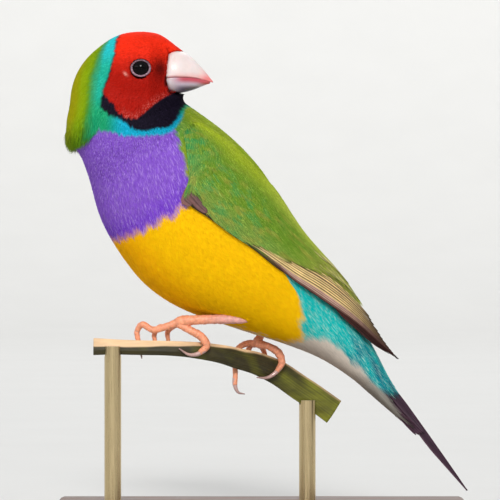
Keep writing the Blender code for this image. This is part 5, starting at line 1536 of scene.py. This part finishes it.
def make_leaf():
    """Make the leaf: its folded section carried along its middle line, ribbed by waves across its height."""
    tints = palette()
    count = 180
    path = smooth_path(LEAF_STATIONS, count)
    tangent = unit(np.gradient(path[:, :3], axis=0))
    across = unit(np.cross(tangent, UP))
    upwards = np.cross(across, tangent)
    level = np.linspace(-0.5, 0.5, 33)
    half = np.interp(level, LEAF_OUTLINE[:, 1], LEAF_OUTLINE[:, 0])
    half = half + 0.035 * np.sin(level * 75.0)
    heights = np.concatenate([level, level[::-1]])
    sides = np.concatenate([half, -half[::-1]])
    rings = (path[:, None, :3] + across[:, None] * sides[None, :, None]
             + upwards[:, None] * (heights[None] * path[:, 3][:, None])[..., None])
    rings = rings + 0.08 * ripples(rings, 9.0, 61)[..., None] * upwards[:, None]
    east = rings[..., 0]
    high = np.broadcast_to(heights, east.shape)
    dry = np.interp(east, (-41, -30, -20, -12, 0), (0.0, 0.05, 0.18, 0.33, 0.44))
    dry = ramp(high + 0.02 * ripples(rings, 6.0, 62), dry - 0.05, dry + 0.04)
    fresh = ramp(east, 2.0, 14.0) * 0.8 + 0.25 * ripples(rings, 6.0, 63)
    colour = mix(tints["leaf"], tints["leaf_fresh"], np.clip(fresh, 0.0, 1.0))
    lines = ripples(np.stack([east * 0.1, high * 16.0, 0.0 * high], -1), 1.2, 64)
    colour = colour * (1.0 + 0.2 * np.sin(high * 75.0) + 0.2 * lines)[..., None]
    colour = mix(colour, tints["leaf_dry"], dry * np.where(east > 0.0, 0.6, 0.95))
    dress(make_lofts("leaf_blade", rings, colour, ("perch_leaf",)), "leaf")


def finish_stand():
    """Give the base a wood with grain along it, and the rods a brushed brass."""
    tints = palette()
    wood, tree, shader = new_material("walnut")
    grain = add_noise(tree, 0.35, 6.0, (0.12, 1.0, 1.0))
    ramp_node = tree.nodes.new("ShaderNodeValToRGB")
    ramp_node.color_ramp.elements[0].position = 0.32
    ramp_node.color_ramp.elements[1].position = 0.68
    ramp_node.color_ramp.elements[0].color = (*(tints["wood"] * 0.45), 1.0)
    ramp_node.color_ramp.elements[1].color = (*(tints["wood"] * 1.35), 1.0)
    tree.links.new(grain, ramp_node.inputs["Fac"])
    tree.links.new(ramp_node.outputs["Color"], shader.inputs["Base Color"])
    tree.links.new(add_range(tree, grain, 0.34, 0.5), shader.inputs["Roughness"])
    relief = tree.nodes.new("ShaderNodeBump")
    relief.inputs["Distance"].default_value = 0.05 * MM
    tree.links.new(grain, relief.inputs["Height"])
    tree.links.new(relief.outputs["Normal"], shader.inputs["Normal"])
    metal, tree, shader = new_material("brushed_brass")
    lines = add_noise(tree, 2.5, 4.0, (1.0, 1.0, 0.04))
    tone = tree.nodes.new("ShaderNodeValToRGB")
    tone.color_ramp.elements[0].color = (0.50, 0.38, 0.20, 1.0)
    tone.color_ramp.elements[1].color = (0.68, 0.55, 0.32, 1.0)
    tree.links.new(lines, tone.inputs["Fac"])
    tree.links.new(tone.outputs["Color"], shader.inputs["Base Color"])
    tree.links.new(add_range(tree, lines, 0.22, 0.38), shader.inputs["Roughness"])
    relief = tree.nodes.new("ShaderNodeBump")
    relief.inputs["Distance"].default_value = 0.01 * MM
    tree.links.new(lines, relief.inputs["Height"])
    tree.links.new(relief.outputs["Normal"], shader.inputs["Normal"])
    shader.inputs["Metallic"].default_value = 1.0
    for node, material in (("stand_base", wood), ("stand_rod_left", metal), ("stand_rod_right", metal)):
        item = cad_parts[node]
        item.data.materials.clear()
        item.data.materials.append(material)


def make_floor():
    """Make the floor and its rim as one surface turned round an upright axis: flat, then a wide curve upwards."""
    tints = palette()
    reach = np.concatenate([[0.0], np.linspace(0.05, 1.8, 12), 1.8 + 1.2 * np.sin(np.linspace(0.1, 1.5, 16))])
    height = np.concatenate([[0.0], np.zeros(12), 1.2 * (1.0 - np.cos(np.linspace(0.1, 1.5, 16)))])
    angle = np.arange(96) / 96 * 2 * math.pi
    points = np.stack([reach[:, None] * np.cos(angle), reach[:, None] * np.sin(angle),
                       height[:, None] * np.ones(96)], -1)
    mesh = bpy.data.meshes.new("floor")
    ring, step = np.meshgrid(np.arange(1, len(reach) - 1), np.arange(96), indexing="ij")
    after = (step + 1) % 96
    quads = np.stack([ring * 96 + step, (ring + 1) * 96 + step, (ring + 1) * 96 + after, ring * 96 + after], -1)
    middle = [(0, 96 + step, 96 + (step + 1) % 96) for step in range(96)]
    mesh.from_pydata(points.reshape(-1, 3).tolist(), [], quads.reshape(-1, 4).tolist() + middle)
    mesh.shade_smooth()
    item = bpy.data.objects.new("floor", mesh)
    bpy.context.scene.collection.objects.link(item)
    item.data.materials.append(finish_surface("matt_floor", (0.75, 0.9), (0.99, 1.01), 0.02, 0.02, 0.5,
                                              specular=0.15, colour=tints["floor"]))


def add_light(name, way, spread, strength):
    """Add a soft light that shines along a direction from an even disc of the sky."""
    lamp = bpy.data.lights.new(name, "SUN")
    lamp.angle = math.radians(spread)
    lamp.energy = strength
    item = bpy.data.objects.new(name, lamp)
    bpy.context.scene.collection.objects.link(item)
    item.rotation_euler = Vector(way).to_track_quat("-Z", "Y").to_euler()


def make_stage():
    """Make the floor, the soft lights, the even surrounding light and the camera."""
    sizes = bpy.context.scene.finch_sizes
    scene = bpy.context.scene
    make_floor()
    add_light("key_light", (0.05, 1.0, -0.55), 14.0, sizes.key_strength)
    add_light("fill_light", (0.9, 0.8, 0.05), 60.0, sizes.fill_strength)
    add_light("back_light", (-0.2, -1.0, -1.0), 30.0, sizes.back_strength)
    world = bpy.data.worlds.new("surroundings")
    scene.world = world
    world.use_nodes = True
    backdrop = world.node_tree.nodes["Background"]
    backdrop.inputs["Color"].default_value = (0.95, 0.97, 1.0, 1.0)
    backdrop.inputs["Strength"].default_value = sizes.sky_strength
    camera = bpy.data.cameras.new("camera")
    camera.lens = CAMERA_LENS
    camera.clip_start = 0.01
    camera.clip_end = 20.0
    item = bpy.data.objects.new("camera", camera)
    scene.collection.objects.link(item)
    item.location = CAMERA_PLACE
    item.rotation_euler = (math.pi / 2, 0.0, 0.0)
    scene.camera = item
    scene.view_settings.view_transform = "Standard"


# ---- operators, panel and registration


class FINCH_OT_skin(bpy.types.Operator):
    """Make the skin of the body, neck and head, and of the upper legs"""

    bl_idname = "finch.skin"
    bl_label = "Skin"

    def execute(self, context):
        make_skin()
        make_thighs()
        return {"FINISHED"}


class FINCH_OT_coat(bpy.types.Operator):
    """Cover the skin with small feathers"""

    bl_idname = "finch.coat"
    bl_label = "Small Feathers"

    def execute(self, context):
        make_coat()
        return {"FINISHED"}


class FINCH_OT_wings(bpy.types.Operator):
    """Make both folded wings"""

    bl_idname = "finch.wings"
    bl_label = "Wings"

    def execute(self, context):
        for side in (-1.0, 1.0):
            make_wing(side)
        return {"FINISHED"}


class FINCH_OT_tail(bpy.types.Operator):
    """Make the tail feathers"""

    bl_idname = "finch.tail"
    bl_label = "Tail"

    def execute(self, context):
        make_tail()
        return {"FINISHED"}


class FINCH_OT_head(bpy.types.Operator):
    """Make the bill, the eyes and the lids"""

    bl_idname = "finch.bill_and_eyes"
    bl_label = "Bill and Eyes"

    def execute(self, context):
        make_bill()
        make_eyes()
        return {"FINISHED"}


class FINCH_OT_legs(bpy.types.Operator):
    """Make the shanks, toes and claws"""

    bl_idname = "finch.legs"
    bl_label = "Legs"

    def execute(self, context):
        make_legs()
        return {"FINISHED"}


class FINCH_OT_perch(bpy.types.Operator):
    """Make the leaf and finish the stand that carries it"""

    bl_idname = "finch.perch"
    bl_label = "Leaf and Stand"

    def execute(self, context):
        make_leaf()
        finish_stand()
        return {"FINISHED"}


class FINCH_OT_stage(bpy.types.Operator):
    """Make the floor, the lights and the camera"""

    bl_idname = "finch.stage"
    bl_label = "Stage"

    def execute(self, context):
        make_stage()
        return {"FINISHED"}


OPERATORS = (FINCH_OT_skin, FINCH_OT_coat, FINCH_OT_wings, FINCH_OT_tail, FINCH_OT_head, FINCH_OT_legs,
             FINCH_OT_perch, FINCH_OT_stage)


class FINCH_PT_panel(bpy.types.Panel):
    """Lists the pieces of the finch and their settings"""

    bl_label = "Finch"
    bl_idname = "FINCH_PT_panel"
    bl_space_type = "VIEW_3D"
    bl_region_type = "UI"
    bl_category = "Finch"

    def draw(self, context):
        for settings in (context.scene.finch_sizes, context.scene.finch_colours):
            column = self.layout.column(align=True)
            for name in type(settings).__annotations__:
                column.prop(settings, name)
        for operator in OPERATORS:
            self.layout.operator(operator.bl_idname)


CLASSES = (FinchColours, FinchSizes, *OPERATORS, FINCH_PT_panel)


def register():
    """Register the settings, the operators and the panel."""
    for item in CLASSES:
        bpy.utils.register_class(item)
    bpy.types.Scene.finch_colours = PointerProperty(type=FinchColours)
    bpy.types.Scene.finch_sizes = PointerProperty(type=FinchSizes)


def unregister():
    """Take the settings, the operators and the panel away again."""
    del bpy.types.Scene.finch_sizes
    del bpy.types.Scene.finch_colours
    for item in reversed(CLASSES):
        bpy.utils.unregister_class(item)


def main():
    """Build every piece in order."""
    register()
    bpy.ops.finch.skin()
    bpy.ops.finch.coat()
    bpy.ops.finch.wings()
    bpy.ops.finch.tail()
    bpy.ops.finch.bill_and_eyes()
    bpy.ops.finch.legs()
    bpy.ops.finch.perch()
    bpy.ops.finch.stage()


if __name__ == "__main__":
    main()
